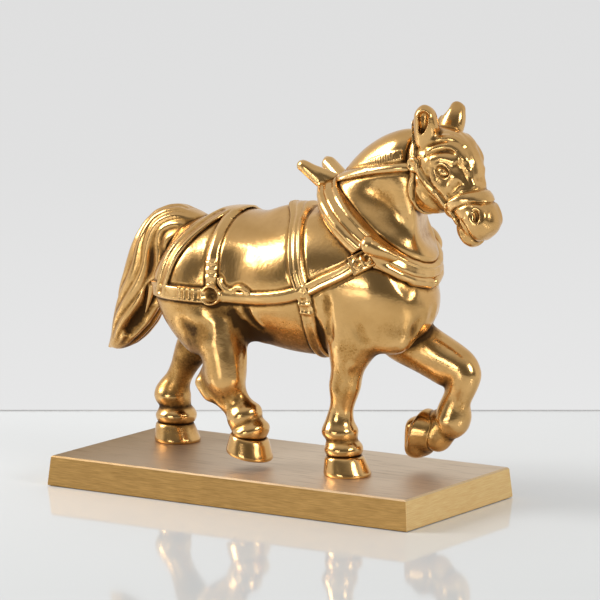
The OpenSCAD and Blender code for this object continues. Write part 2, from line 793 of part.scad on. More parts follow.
module collar() {
    color("darkgoldenrod")
        difference() {
            collar_form();
            neck_form();
            trunk_form();
        }
}

module hame_form(side) {
    union() {
        intersection() {
            form(hame_rows, 2, 28);
            translate([0, side * (far + hame_gap), far])
                cube([4 * far, 2 * far, 4 * far], center = true);
        }
        form([for (r = horn_table)
            [horn_foot.x + r[0], side * (horn_foot.y + r[1] * horn_length * horn_spread),
                horn_foot.z + r[1] * horn_length, r[2], r[2]]], 2, 12);
        form([for (r = tug_boss) [tug_boss_spot.x + r[0] * tug_boss_way.x,
            side * (tug_boss_spot.y + r[0] * tug_boss_way.y),
            tug_boss_spot.z + r[0] * tug_boss_way.z, r[1], r[1]]], 2, 12);
    }
}

module hame(side) {
    color("goldenrod")
        difference() {
            hame_form(side);
            collar_form();
            trunk_form();
            neck_form();
        }
}

module right_hame() {
    hame(right);
}

module left_hame() {
    hame(left);
}

module tug_plate(side) {
    color("darkgoldenrod")
        difference() {
            intersection() {
                trunk_form(tug_plate_thickness);
                tug_space(side);
            }
            trunk_form();
            neck_form();
            collar_form();
            hame_form(side);
        }
}

module right_tug_plate() {
    tug_plate(right);
}

module left_tug_plate() {
    tug_plate(left);
}

module trace(side) {
    color("goldenrod")
        difference() {
            intersection() {
                trunk_form(strap_thickness);
                strap_space(trace_path, trace_width, side);
            }
            trunk_form();
            ring_space(side);
            tug_space(side);
        }
}

module right_trace() {
    trace(right);
}

module left_trace() {
    trace(left);
}

module back_band() {
    color("darkgoldenrod")
        difference() {
            intersection() {
                trunk_form(strap_thickness);
                strap_space(back_band_path, back_band_width);
            }
            trunk_form();
            strap_space(trace_path, trace_width);
        }
}

module girth() {
    color("darkgoldenrod")
        difference() {
            intersection() {
                trunk_form(strap_thickness);
                strap_space(girth_path, girth_width);
            }
            trunk_form();
            strap_space(trace_path, trace_width);
            form(right_fore_rows, 2, 16);
        }
}

module breeching() {
    color("darkgoldenrod")
        difference() {
            intersection() {
                trunk_form(strap_thickness);
                breeching_space();
            }
            trunk_form();
            tail_form();
            ring_space(right);
            ring_space(left);
        }
}

module ring(side) {
    color("goldenrod")
        difference() {
            intersection() {
                trunk_form(ring_height);
                ring_space(side);
            }
            trunk_form();
        }
}

module right_ring() {
    ring(right);
}

module left_ring() {
    ring(left);
}

module hip_strap(side) {
    color("darkgoldenrod")
        difference() {
            intersection() {
                trunk_form(strap_thickness);
                strap_space(hip_strap_path, hip_strap_width, side);
            }
            trunk_form();
            ring_space(side);
            croup_space();
        }
}

module right_hip_strap() {
    hip_strap(right);
}

module left_hip_strap() {
    hip_strap(left);
}

module rear_strap(side) {
    color("darkgoldenrod")
        difference() {
            intersection() {
                trunk_form(strap_thickness);
                strap_space(rear_strap_path, rear_strap_width, side);
            }
            trunk_form();
            tail_form();
            breeching_space();
            croup_space();
        }
}

module right_rear_strap() {
    rear_strap(right);
}

module left_rear_strap() {
    rear_strap(left);
}

module croup_pad() {
    color("goldenrod")
        difference() {
            intersection() {
                trunk_form(strap_thickness + pad_extra);
                croup_space();
            }
            trunk_form();
        }
}

// Bridle on the head
module bridle_strap(path, w, side = 0) {
    color("darkgoldenrod")
        difference() {
            turned()
                intersection() {
                    skull_form(bridle_thickness);
                    strap_space(path, w, side);
                }
            head_form();
        }
}

module rosette_space(side) {
    translate([poll.x + rosette_spot.x * head_size, poll.y, poll.z + rosette_spot.y * head_size])
        rotate([side * -90, 0, 0])
            cylinder(h = far, d = rosette_d);
}

module crown_strap() {
    difference() {
        bridle_strap(crown_path, bridle_width);
        turned() {
            rosette_space(right);
            rosette_space(left);
        }
        neck_form();
    }
}

module cheek_strap(side) {
    difference() {
        bridle_strap(cheek_path, bridle_width, side);
        turned() {
            rosette_space(side);
            strap_space(noseband_path, noseband_width);
        }
        neck_form();
    }
}

module right_cheek_strap() {
    cheek_strap(right);
}

module left_cheek_strap() {
    cheek_strap(left);
}

module noseband() {
    bridle_strap(noseband_path, noseband_width);
}

module throat_latch() {
    difference() {
        bridle_strap(throat_path, bridle_width);
        turned() {
            rosette_space(right);
            rosette_space(left);
            strap_space(cheek_path, bridle_width);
        }
        neck_form();
    }
}

module rosette(side) {
    color("goldenrod")
        difference() {
            turned()
                intersection() {
                    skull_form(rosette_height);
                    rosette_space(side);
                }
            head_form();
            neck_form();
        }
}

module right_rosette() {
    rosette(right);
}

module left_rosette() {
    rosette(left);
}

module rein(side) {
    color("darkgoldenrod")
        difference() {
            intersection() {
                neck_form(bridle_thickness);
                strap_space(rein_path, rein_width, side);
            }
            neck_form();
            head_form();
            collar_form();
            turned()
                rosette_space(side);
        }
}

module right_rein() {
    rein(right);
}

module left_rein() {
    rein(left);
}

module bit_ring(side) {
    color("gold")
        difference() {
            turned()
                translate([poll.x, poll.y, poll.z] + head_size * [bit_spot.x, side * bit_out, bit_spot.y])
                    rotate([90 - side * bit_lean, 0, 0])
                        rotate_extrude()
                            translate([bit_ring_d / 2, 0])
                                circle(d = bit_wire_d);
            head_form();
        }
}

module right_bit_ring() {
    bit_ring(right);
}

module left_bit_ring() {
    bit_ring(left);
}

base_plate();
base_felt();
base_screws();
screw_washers();
trunk();
core_plug();
neck();
head();
tail();
right_foreleg();
left_foreleg();
right_hindleg();
left_hindleg();
right_fore_hoof();
left_fore_hoof();
right_hind_hoof();
left_hind_hoof();
leg_dowels();
hoof_dowels();
neck_dowels();
tail_dowel();
collar();
right_hame();
left_hame();
right_tug_plate();
left_tug_plate();
right_trace();
left_trace();
back_band();
girth();
breeching();
right_ring();
left_ring();
right_hip_strap();
left_hip_strap();
right_rear_strap();
left_rear_strap();
croup_pad();
crown_strap();
right_cheek_strap();
left_cheek_strap();
noseband();
throat_latch();
right_rosette();
left_rosette();
right_rein();
left_rein();
right_bit_ring();
left_bit_ring();
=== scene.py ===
# %% [markdown]
# # A draft horse in cast bronze
# This lesson builds a polished bronze horse, in harness, on a brushed base.
# The CAD frame gives every piece its place and its size.
# Blender then does what a sculptor does with wax before the metal is poured.
# It softens the forms, lays the straps on, and cuts the eyes, hair and creases.
# The frame comes first, and its box is kept, since the finished horse has to fit inside it.

import json
import math

import bpy
import numpy as np
import openvdb as vdb
from mathutils import Matrix, Vector

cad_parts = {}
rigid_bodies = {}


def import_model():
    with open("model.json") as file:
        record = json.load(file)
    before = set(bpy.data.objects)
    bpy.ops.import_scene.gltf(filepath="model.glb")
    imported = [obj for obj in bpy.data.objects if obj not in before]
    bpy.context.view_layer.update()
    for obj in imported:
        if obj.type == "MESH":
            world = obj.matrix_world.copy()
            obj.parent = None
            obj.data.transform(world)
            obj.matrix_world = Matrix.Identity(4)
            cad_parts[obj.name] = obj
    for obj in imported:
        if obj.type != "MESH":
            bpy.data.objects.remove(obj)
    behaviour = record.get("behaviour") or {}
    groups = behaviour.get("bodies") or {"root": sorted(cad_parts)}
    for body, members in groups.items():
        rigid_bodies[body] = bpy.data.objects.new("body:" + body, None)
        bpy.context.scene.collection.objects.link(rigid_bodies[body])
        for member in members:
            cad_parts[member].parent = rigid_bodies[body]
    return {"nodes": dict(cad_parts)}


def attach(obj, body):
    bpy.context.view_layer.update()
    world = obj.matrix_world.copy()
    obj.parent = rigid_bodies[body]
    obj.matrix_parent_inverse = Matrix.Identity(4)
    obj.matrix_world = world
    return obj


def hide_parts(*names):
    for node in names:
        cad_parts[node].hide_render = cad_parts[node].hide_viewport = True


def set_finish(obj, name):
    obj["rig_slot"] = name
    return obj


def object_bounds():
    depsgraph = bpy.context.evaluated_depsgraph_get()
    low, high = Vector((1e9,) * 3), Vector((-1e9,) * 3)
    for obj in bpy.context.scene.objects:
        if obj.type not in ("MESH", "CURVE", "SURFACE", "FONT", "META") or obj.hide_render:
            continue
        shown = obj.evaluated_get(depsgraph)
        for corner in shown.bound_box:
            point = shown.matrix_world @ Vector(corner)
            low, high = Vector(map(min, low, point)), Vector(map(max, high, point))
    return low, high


for leftover in list(bpy.data.objects):
    bpy.data.objects.remove(leftover)
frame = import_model()
cad_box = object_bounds()
nodes = frame["nodes"]
print("frame:", len(nodes), "nodes, box in mm", [[round(c * 1000, 1) for c in p] for p in cad_box])

# %% [markdown]
# ## Digital wax
# Polygons are awkward to sculpt by numbers, because a groove has to cut across their edges.
# Sculpt mode would do it by hand, but a script has no hand.
# A distance field is easier: a block of voxels, each holding how far it is from the surface.
# The number is negative inside, so taking the smaller of two fields joins two shapes,
# and taking a little away from the field swells the surface by that much.
# Sizes here are in millimetres. Beyond FAR the field stops counting, so no relief may be as high as that.

# %% Voxel sizes
MM = 1000.0
FAR = 4.0
MARGIN = 4.5
COARSE = 0.5
FINE = 0.35
RIGHT = -1
LEFT = 1
print("voxels of", COARSE, "mm, and of", FINE, "mm for the head")


# %% Meshes and lines as numbers
def node_mesh(*names):
    """Points in mm and triangles of some CAD nodes, as one."""
    all_points, all_triangles, start = [], [], 0
    for name in names:
        mesh = nodes[name].data
        mesh.calc_loop_triangles()
        points = np.empty(len(mesh.vertices) * 3, np.float32)
        mesh.vertices.foreach_get("co", points)
        triangles = np.empty(len(mesh.loop_triangles) * 3, np.int32)
        mesh.loop_triangles.foreach_get("vertices", triangles)
        all_points.append(points.reshape(-1, 3) * MM)
        all_triangles.append(triangles.reshape(-1, 3) + start)
        start += len(mesh.vertices)
    return np.concatenate(all_points), np.concatenate(all_triangles)


def box_of(*names):
    """The box round some CAD nodes, with room for the field to grow."""
    points, _ = node_mesh(*names)
    return points.min(0) - MARGIN, points.max(0) + MARGIN


def smooth_step(t):
    t = np.clip(t, 0.0, 1.0)
    return t * t * (3.0 - 2.0 * t)


def bump(d, at, width):
    return np.exp(-((d - at) / width) ** 2)


def curve(points, per_span=5):
    """A smooth line through the given points."""
    p = np.asarray(points, float)
    p = np.vstack([2 * p[0] - p[1], p, 2 * p[-1] - p[-2]])
    out = []
    for i in range(1, len(p) - 2):
        for t in np.linspace(0, 1, per_span, endpoint=False):
            a, b, c, d = p[i - 1:i + 3]
            out.append(0.5 * (2 * b + (c - a) * t + (2 * a - 5 * b + 4 * c - d) * t * t
                              + (3 * b - a - 3 * c + d) * t ** 3))
    out.append(p[-2])
    return np.array(out)


def stroke(points):
    """A straight line for two points, and a smooth one for more."""
    return curve(points) if len(points) > 2 else np.asarray(points, float)


def near_line(line, places):
    """Distance of each place to a line, and how far along the line that is, from 0 to 1."""
    best, share = None, None
    steps = np.linalg.norm(np.diff(line, axis=0), axis=1)
    starts = np.concatenate([[0.0], np.cumsum(steps)])
    for i, (a, b) in enumerate(zip(line[:-1], line[1:])):
        way = b - a
        t = sum((q - o) * w for q, o, w in zip(places, a, way)) / max(way @ way, 1e-9)
        t = np.clip(t, 0.0, 1.0)
        d = sum((q - o - t * w) ** 2 for q, o, w in zip(places, a, way))
        u = (starts[i] + t * steps[i]) / starts[-1]
        if best is None:
            best, share = d, u
        else:
            share = np.where(d < best, u, share)
            best = np.minimum(best, d)
    return np.sqrt(best), share


print("trunk as numbers:", len(node_mesh("trunk")[1]), "triangles")


# %% The block of wax
class Wax:
    """Voxels with the distance to a surface in mm, and the tools that shape it."""

    def __init__(self, low, high, size):
        self.size = size
        self.low = np.asarray(low, float)
        self.shape = tuple(int(math.ceil((b - a) / size)) + 1 for a, b in zip(low, high))
        self.axes = [self.low[i] + size * np.arange(self.shape[i]) for i in range(3)]
        self.field = np.full(self.shape, FAR, np.float32)

    def grid_axes(self):
        """The x, y and z of all voxels, shaped so that they spread over the block."""
        x, y, z = self.axes
        return x[:, None, None], y[None, :, None], z[None, None, :]

    def measure(self, points, faces):
        """The distance field of a closed mesh."""
        shifted = ((points - self.low) / self.size).astype(np.float32)
        grid = vdb.FloatGrid.createLevelSetFromPolygons(
            shifted, triangles=faces.astype(np.uint32), halfWidth=FAR / self.size,
            transform=vdb.createLinearTransform(voxelSize=1.0))
        out = np.full(self.shape, grid.background, np.float32)
        grid.copyToArray(out)
        return out * self.size

    def soften(self, field, width, limit=3.5):
        """The field averaged over about that width, so that facets and inner corners melt away."""
        out = np.clip(field, -limit, limit)
        r = max(1, int(round(width / self.size / 2)))
        for axis in range(3):
            for _ in range(3):
                total = np.cumsum(out, axis=axis, dtype=np.float32)
                total = np.moveaxis(total, axis, 0)
                view = np.moveaxis(out, axis, 0)
                view[r + 1:-r] = (total[2 * r + 1:] - total[:-2 * r - 1]) / (2 * r + 1)
        return out

    def set_true(self):
        """Measures the surface again, so that the field holds real millimetres on both sides."""
        self.field = self.measure(*self.skin())

    def window(self, low, high):
        """The voxels of a box, and the places of their centres."""
        cut = []
        for i in range(3):
            a = int(np.clip(math.floor((low[i] - self.low[i]) / self.size), 0, self.shape[i]))
            b = int(np.clip(math.ceil((high[i] - self.low[i]) / self.size) + 1, 0, self.shape[i]))
            cut.append(slice(a, b))
        x, y, z = (self.axes[i][cut[i]].astype(np.float32) for i in range(3))
        return tuple(cut), (x[:, None, None], y[None, :, None], z[None, None, :])

    def ridge(self, points, width, height, taper=0.0):
        """Raises the surface along a line, or cuts a groove where the height is negative."""
        line = stroke(points)
        cut, places = self.window(line.min(0) - width, line.max(0) + width)
        d, share = near_line(line, places)
        rise = height * np.clip(1 - (d / width) ** 2, 0, 1) ** 2
        if taper:
            rise = rise * smooth_step(np.minimum(share, 1 - share) / taper)
        self.field[cut] -= rise.astype(np.float32)

    def hoop(self, middle, way, width, height, reach=13.0):
        """Raises or cuts a ring round a limb, square to the way the limb runs."""
        m, w = np.asarray(middle, float), np.asarray(way, float)
        cut, (x, y, z) = self.window(m - reach, m + reach)
        along = ((x - m[0]) * w[0] + (y - m[1]) * w[1] + (z - m[2]) * w[2]) / np.linalg.norm(w)
        d = np.sqrt((x - m[0]) ** 2 + (y - m[1]) ** 2 + (z - m[2]) ** 2)
        near = np.clip(1 - (d / reach) ** 4, 0, 1)
        self.field[cut] -= (height * np.exp(-((along / width) ** 2)) * near).astype(np.float32)

    def ball(self, middle, radius, height):
        """Swells or dents the surface round a point."""
        m = np.asarray(middle, float)
        cut, (x, y, z) = self.window(m - radius, m + radius)
        d = np.sqrt((x - m[0]) ** 2 + (y - m[1]) ** 2 + (z - m[2]) ** 2)
        self.field[cut] -= (height * np.clip(1 - (d / radius) ** 2, 0, 1) ** 2).astype(np.float32)

    def tube(self, points, radius, blend=0.6, hollow=False, tip=None):
        """Adds a round bar along a line, or scoops one out."""
        line = stroke(points)
        reach = max(radius, tip or 0) + 3 * blend
        cut, places = self.window(line.min(0) - reach, line.max(0) + reach)
        d, share = near_line(line, places)
        bar = d - (radius if tip is None else radius + (tip - radius) * share)
        old = self.field[cut]
        a, b = (-old, bar) if hollow else (old, bar)
        h = np.clip(0.5 + 0.5 * (b - a) / blend, 0, 1)
        joined = b * (1 - h) + a * h - blend * h * (1 - h)
        self.field[cut] = (-joined if hollow else joined).astype(np.float32)

    def sample(self, points, field=None):
        """The field's value at any points."""
        field = self.field if field is None else field
        q = (points - self.low) / self.size
        q = np.clip(q, 0, np.array(self.shape) - 1.001)
        i = q.astype(np.int32)
        f = (q - i).astype(np.float32)
        out = np.zeros(len(points), np.float32)
        for dx in (0, 1):
            for dy in (0, 1):
                for dz in (0, 1):
                    w = (np.abs(1 - dx - f[:, 0]) * np.abs(1 - dy - f[:, 1]) * np.abs(1 - dz - f[:, 2]))
                    out += w * field[i[:, 0] + dx, i[:, 1] + dy, i[:, 2] + dz]
        return out

    def slope(self, points):
        """The direction in which the field grows: the way the surface faces."""
        out = np.zeros((len(points), 3), np.float32)
        for i in range(3):
            step = np.zeros(3)
            step[i] = self.size
            out[:, i] = self.sample(points + step) - self.sample(points - step)
        return out / np.maximum(np.linalg.norm(out, axis=1, keepdims=True), 1e-6)

    def skin(self, saving=0.0):
        """The surface as points and triangles. Saving makes larger triangles where it is flat."""
        grid = vdb.FloatGrid(FAR / self.size)
        grid.copyFromArray(np.ascontiguousarray(self.field / self.size), tolerance=0.0)
        grid.gridClass = vdb.GridClass.LEVEL_SET
        points, triangles, quads = grid.convertToPolygons(isovalue=0.0, adaptivity=saving)
        points = np.asarray(points, float) * self.size + self.low
        quads = np.asarray(quads, np.int64).reshape(-1, 4)
        triangles = np.asarray(triangles, np.int64).reshape(-1, 3)
        faces = np.concatenate([triangles, quads[:, [0, 1, 2]], quads[:, [0, 2, 3]]])
        a, b, c = (points[faces[:, i]] for i in range(3))
        facing = np.cross(b - a, c - a)
        if np.einsum("ij,ij->", facing, self.slope((a + b + c) / 3)) < 0:
            faces = faces[:, ::-1]
        return points, faces

    def fair_skin(self, saving=0.008):
        """The same, with each point drawn onto the true surface, and the way each one faces."""
        points, faces = self.skin(saving)
        for _ in range(2):
            off = np.clip(self.sample(points), -self.size / 2, self.size / 2)
            points = points - self.slope(points) * off[:, None]
        return points, faces, self.slope(points)


print("wax tools:", [tool for tool in vars(Wax) if not tool.startswith("_")])

# %% [markdown]
# ## The body
# On the real horse trunk, neck and legs are castings that meet without a visible seam.
# A Boolean modifier would join them too, but it would keep the straight sides of the CAD lofts.
# Fields join by taking the smaller number, and what is joined can be melted together afterwards.
# The pins and the core plug go in as well, since they fill the holes in the castings.
# The hollow inside is then filled, because only the outer skin is wanted.

# %% Join trunk, neck and legs
BODY = ["trunk", "neck", "right_foreleg", "left_foreleg", "right_hindleg", "left_hindleg"]
body = Wax(*box_of(*BODY), COARSE)
owner = np.full(body.shape, -1, np.int8)
for number, name in enumerate(BODY):
    piece = body.measure(*node_mesh(name))
    owner[piece < body.field] = number
    body.field = np.minimum(body.field, piece)
for name in ("core_plug", "leg_dowels", "neck_dowels", "tail_dowel"):
    body.field = np.minimum(body.field, body.measure(*node_mesh(name)))
print("body wax:", body.shape, "voxels")

# %% Fill the hollow
inside = body.field < 0
closed_in = np.ones(body.shape, bool)
for axis in range(3):
    closed_in &= np.maximum.accumulate(inside, axis=axis)
    closed_in &= np.flip(np.maximum.accumulate(np.flip(inside, axis), axis=axis), axis)
body.field[closed_in & ~inside] = -FAR
print("hollow filled:", int((closed_in & ~inside).sum()), "voxels")

# %% [markdown]
# ## Flesh
# The horse is heavy where the lofts are slim: thigh, belly, chest, forearm, withers and the top of the neck.
# A muscle could be a sphere pushed out with a brush, but most of them are long.
# So each is a round bar of wax that runs along the muscle and blends into the body.
# Then the field is averaged: widely over the barrel, narrowly on the legs, where the forms are small.

# %% Add flesh
FLESH = [
    ([[-24, -25.5, 92], [-18.5, -25, 76], [-16.5, -24, 63]], 9.4, 6.0),
    ([[2, 0, 92.5], [16, 0, 90.5], [34, 0, 90.5]], 14.0, 8.0),
    ([[-11, -9, 85], [-1, -8, 89]], 5.5, 3.0),
    ([[56, -14, 82], [64, -14, 90], [78, -11, 89.5]], 8.6, 6.0),
    ([[62, 19, 83], [78, 19.5, 75.5], [89, 19.5, 70.5]], 8.8, 4.0),
    ([[96.6, 19.5, 47], [94.2, 19.5, 43]], 6.6, 3.0),
    ([[-31, -25, 58.5], [-26, -25, 52.5]], 3.6, 2.5),
    ([[6, 0, 139.5], [22, 0, 143.2]], 10.0, 6.0),
    ([[73, -3, 170], [85, -3.5, 167.5]], 12.0, 4.0),
    ([[82, -3.5, 161], [88, -4, 154]], 10.5, 4.0),
]
for points, radius, blend in FLESH:
    body.tube(points, radius, blend)
LIFTED_PASTERN = [[94, 19.5, 43.5], [82, 19.5, 37.5]]
body.tube(LIFTED_PASTERN, 7.2, 3.0, tip=9.4)
print("bars of wax:", len(FLESH) + 1)

# %% Melt the forms together
LEG_TOP = 58.0
LEG_TO_BARREL = 24.0
on_legs = body.soften(body.field, 1.5)
on_barrel = body.soften(body.field, 6.0) * 1.7
share = smooth_step((body.grid_axes()[2] - LEG_TOP) / LEG_TO_BARREL).astype(np.float32)
body.field = on_legs * (1 - share) + on_barrel * share
body.set_true()
print("softened:", round(float((body.field < 0).sum()) * COARSE ** 3 / 1000), "cubic cm of wax")

# %% [markdown]
# ## Neck and throat
# Averaging shrinks a form a little, so the body swells again, most of all where the neck leaves the collar.
# The throat is a clean hollow between jaw and chest.
# It could be cut with one large ball, but the hollow is wide, so bars side by side scoop it out
# and one more round of averaging hides their traces.

# %% Swell the neck and hollow the throat
COLLAR_X, COLLAR_Z = 62.6, 142.4
COLLAR_LEAN = math.radians(52)


def ahead_of_collar(wax):
    """How far each voxel lies in front of the collar's plane."""
    x, _, z = wax.grid_axes()
    return (x - COLLAR_X) * math.cos(COLLAR_LEAN) + (z - COLLAR_Z) * math.sin(COLLAR_LEAN)


up = body.grid_axes()[2]
swell = 0.4 + 0.5 * smooth_step((up - 146) / 8) + 1.3 * bump(ahead_of_collar(body), 9, 3.5)
body.field -= swell.astype(np.float32)

THROAT = np.array([[101.2, 0, 157], [101.0, 0, 151], [101.4, 0, 143.6], [107.6, 0, 137.2]])
for y in (-15, -9, -3, 3, 9, 15):
    body.tube(THROAT + [-6 - y / 3, y, 0], 8.0, 3.0, hollow=True)
THROAT_X, THROAT_Z, THROAT_REACH = 101, 147, 18
middle = np.array([THROAT_X, 0, THROAT_Z], float)
cut, (x, y, z) = body.window(middle - 20, middle + 20)
off = (x - THROAT_X) ** 2 + (y / 1.2) ** 2 + (z - THROAT_Z) ** 2
near = np.clip(1 - off / THROAT_REACH ** 2, 0, 1) ** 0.5
body.field[cut] += near * (body.soften(body.field[cut], 4.0) - body.field[cut])
print("throat hollowed round", middle)

# %% [markdown]
# ## Muscles and creases
# A bronze this size has no anatomy, only the few shadows that say horse.
# They could be painted as a bump map, but a mirror finish shows at once that the outline lacks them.
# Each line below is a stroke of a wax tool: where it runs, how wide it is, and how far it lifts or cuts.

# %% Strokes on the body
BOTH_SIDES = [
    ([[49, -32, 116], [49, -30.5, 105], [48, -28, 95], [47.5, -26, 84]], 4.4, -1.2),
    ([[40.5, -30, 100], [41, -25.5, 92], [38.5, -16, 83]], 4.0, -1.0),
    ([[64, -29, 101], [66.5, -25, 92], [67, -15, 86], [71, -5, 83.5]], 5.0, -0.9),
    ([[73, -4, 84], [82, -9.5, 89.5], [89, -9.5, 96], [93, -6, 105]], 4.6, -0.8),
    ([[90, -1.5, 96], [95, -1.2, 106], [97, -1.0, 117]], 3.4, -0.8),
    ([[83, -22, 127], [87, -17, 118], [90, -12, 110]], 5.4, -0.8),
    ([[0, -31, 103], [-0.5, -29, 97], [2, -25, 91.5], [6, -21, 87]], 3.4, -1.5),
    ([[-5, -31.5, 102], [-5, -28.5, 97], [-4, -26, 91]], 3.6, 0.5),
    ([[4, -30.5, 100], [4, -26.5, 94], [7, -23, 89]], 3.0, 0.5),
    ([[-42, -33.4, 91], [-31, -34.3, 88.6], [-22.3, -33.6, 88.5], [-19, -32.2, 80]], 6.0, -0.8),
    ([[-12, -33, 97], [-16, -31, 87], [-18, -28, 76]], 8.0, 0.9),
]
for points, width, rise in BOTH_SIDES:
    for side in (RIGHT, LEFT):
        body.ridge(np.array(points, float) * [1, -side, 1], width, rise, taper=0.25)

LEGS = [
    ([[-24.5, -28.3, 66], [-26, -27.5, 60], [-22.4, -27, 52.4], [-17, -25, 44.5]], 2.4, 0.7),
    ([[-20, -28.6, 65], [-18, -27.5, 57], [-14, -26.7, 50.5]], 2.0, -0.8),
    ([[-12.5, -24.8, 62.6], [-10.3, -24.3, 55], [-9.5, -23.5, 49]], 2.2, -0.6),
    ([[-6.5, -18.5, 80], [-7.5, -20, 72], [-9, -21, 66]], 3.0, 0.8),
    ([[60, -22, 78], [57, -24, 70], [55, -22, 62]], 3.6, 0.7),
    ([[51, -24.5, 74], [50, -23.5, 66], [49.5, -21.5, 58]], 3.0, -0.6),
]
for points, width, rise in LEGS:
    body.ridge(points, width, rise, taper=0.25)
print("strokes:", 2 * len(BOTH_SIDES), "on the flanks and", len(LEGS), "on the legs")

# %% [markdown]
# ## Fetlocks and dents
# Above each hoof the leg thickens, narrows and thickens again.
# A Lattice could squeeze it, but a ring of wax round the leg says the same in one line.
# Round dents and swellings then break up the even barrel.

# %% Rings, dents and swellings
UPRIGHT = [0, 0, 1]
HIND_WAY = [11, 0, -18]
LIFTED_WAY = [-12, 0, -6]
FETLOCKS = [
    ([47.4, -12.4, 29.5], UPRIGHT, 2.6, 1.0),
    ([46.4, -12.4, 34.2], UPRIGHT, 1.7, -0.9),
    ([45.7, -12.6, 39.0], UPRIGHT, 3.0, 1.0),
    ([-77.8, 19.4, 30.5], UPRIGHT, 2.6, 0.8),
    ([-78.2, 19.4, 35.0], UPRIGHT, 1.5, -0.8),
    ([-79.4, 19.2, 40.5], UPRIGHT, 3.0, 0.9),
    ([-6.0, -22, 44.8], HIND_WAY, 3.2, 0.9),
    ([-2.6, -22, 40.2], HIND_WAY, 1.5, -0.6),
    ([0.2, -22, 36.0], HIND_WAY, 2.8, 0.8),
    ([90.5, 19.5, 41.5], LIFTED_WAY, 1.8, -0.6),
    ([84.5, 19.5, 38.5], LIFTED_WAY, 3.0, 0.8),
]
for place, way, width, rise in FETLOCKS:
    body.hoop(place, way, width, rise)
for spot in ([1.5, -9, 85], [4.5, -6, 86.5], [-3, -8, 83]):
    body.ball(spot, 5.5, 1.6)
body.ball([27, 0, 152], 20, -2.4)
for side in (RIGHT, LEFT):
    body.ball([-8, 37 * side, 121], 17, -1.6)
    body.ball([20, 36 * side, 116], 26, 1.4)
    for y in (8, 22):
        body.ball([-60, y * side, 124], 16, -1.6)
print("rings round the legs:", len(FETLOCKS))

# %% [markdown]
# ## Mane
# The mane is clipped short, and shows as a row of small nicks along the crest.
# Hair curves would be far too fine for a casting, so each nick is one short stroke.

# %% Mane
MANE_NICKS = 15
for number in range(MANE_NICKS):
    t = number / (MANE_NICKS - 1)
    foot = np.array([62.5 + 21 * t, -15.8 + 0.6 * t, 175.2 + 6.0 * t])
    for side in (RIGHT, LEFT):
        body.ridge(np.array([foot, foot + [-0.8, 0.8, 4.0]]) * [1, -side, 1], 1.0, 0.7)
print("nicks in the mane:", MANE_NICKS, "on each side")

# %% [markdown]
# ## The harness
# On the bronze the straps are part of the casting: low bands with rounded edges.
# A Shrinkwrap modifier could drape them, but it would leave a gap or a cut wherever the body bulges.
# Seen from the side each strap is a line with a width, so its height is a small map over that view,
# and taking that map from the field raises the strap out of the body itself.
# The same map serves both flanks. Double ridges, keepers and buckles are bumps in a strap's profile.

# %% The strap map
SHOWN = 0.06
MOAT = 0.35


def both(name):
    return ["right_" + name, "left_" + name]


class StrapMap:
    """Heights of the straps in mm over a side view, and which strap is on top at each place."""

    def __init__(self, wax):
        self.x = wax.axes[0][:, None]
        self.z = wax.axes[2][None, :]
        self.relief = np.zeros((wax.shape[0], wax.shape[2]))
        self.moat = np.zeros(self.relief.shape)
        self.top = np.full(self.relief.shape, -1)
        self.straps = []

    def lay(self, names, rise, cover=None):
        """Puts one strap's heights on the map. With its cover given it hides what lies there already."""
        if names not in self.straps:
            self.straps.append(names)
        number = self.straps.index(names)
        if cover is None:
            self.top[(rise > self.relief) & (rise > SHOWN)] = number
            np.maximum(self.relief, rise, out=self.relief)
        else:
            self.top[cover > 0.5] = number
            self.relief[:] = self.relief * (1 - cover) + rise * cover

    def band(self, path, width, edge=0.8):
        """How much of a band covers each place, the distance from its middle and the way along it."""
        line = curve(path)
        d, share = near_line(line, (self.x, self.z))
        length = np.linalg.norm(np.diff(line, axis=0), axis=1).sum()
        np.maximum(self.moat, MOAT * bump(d, width / 2 + 0.9, 0.7), out=self.moat)
        return smooth_step((width / 2 - d) / edge + 0.5), d, share * length

    def disc(self, x, z, radius):
        """How much of a round boss covers each place, and the distance from its middle."""
        r = np.hypot(self.x - x, self.z - z)
        np.maximum(self.moat, MOAT * bump(r, radius + 0.8, 0.6), out=self.moat)
        return smooth_step((radius - r) / 0.7 + 0.5), r

    def cut_moat(self, wax):
        """Cuts a fine line into the metal beside every strap, as a chasing tool does."""
        wax.field += np.where(self.relief > SHOWN, 0, self.moat)[:, None, :].astype(np.float32)


harness = StrapMap(body)
print("strap map:", harness.relief.shape, "places")

# %% [markdown]
# ## Back band and girth
# These two run over the back and under the belly, with double ridges and two loops below the joint.

# %% Back band and girth
cover, d, _ = harness.band([[36, 112.5], [32.6, 122], [29.9, 131], [26.1, 141],
                            [21.7, 148.3], [15, 153.5], [8, 157]], 7.8)
harness.lay(["back_band"], cover * (0.9 + 0.8 * bump(d, 2.9, 0.8) + 0.5 * bump(d, 0.2, 0.8)))

cover, d, u = harness.band([[36.5, 109.5], [36.8, 100], [35.5, 89], [33.5, 80], [32.5, 70], [32, 58]], 7)
girth_loops = 1.0 * (bump(u, 3.8, 0.8) + bump(u, 8.5, 0.8))
harness.lay(["girth"], cover * (0.9 + 0.5 * bump(d, 2.6, 0.7) + girth_loops))
print("laid:", harness.straps)

# %% [markdown]
# ## Straps behind
# Two straps on each side hang from the croup and carry the breeching round the thighs.
# The hip strap has three keepers, and the breeching four bars where it is buckled.

# %% Rear strap, hip strap and breeching
cover, d, _ = harness.band([[-22, 153], [-28.8, 146], [-38.5, 136], [-45.4, 124], [-49, 114], [-51, 106]], 8)
harness.lay(both("rear_strap"), cover * (0.9 + 0.9 * bump(d, 2.5, 1.1)))

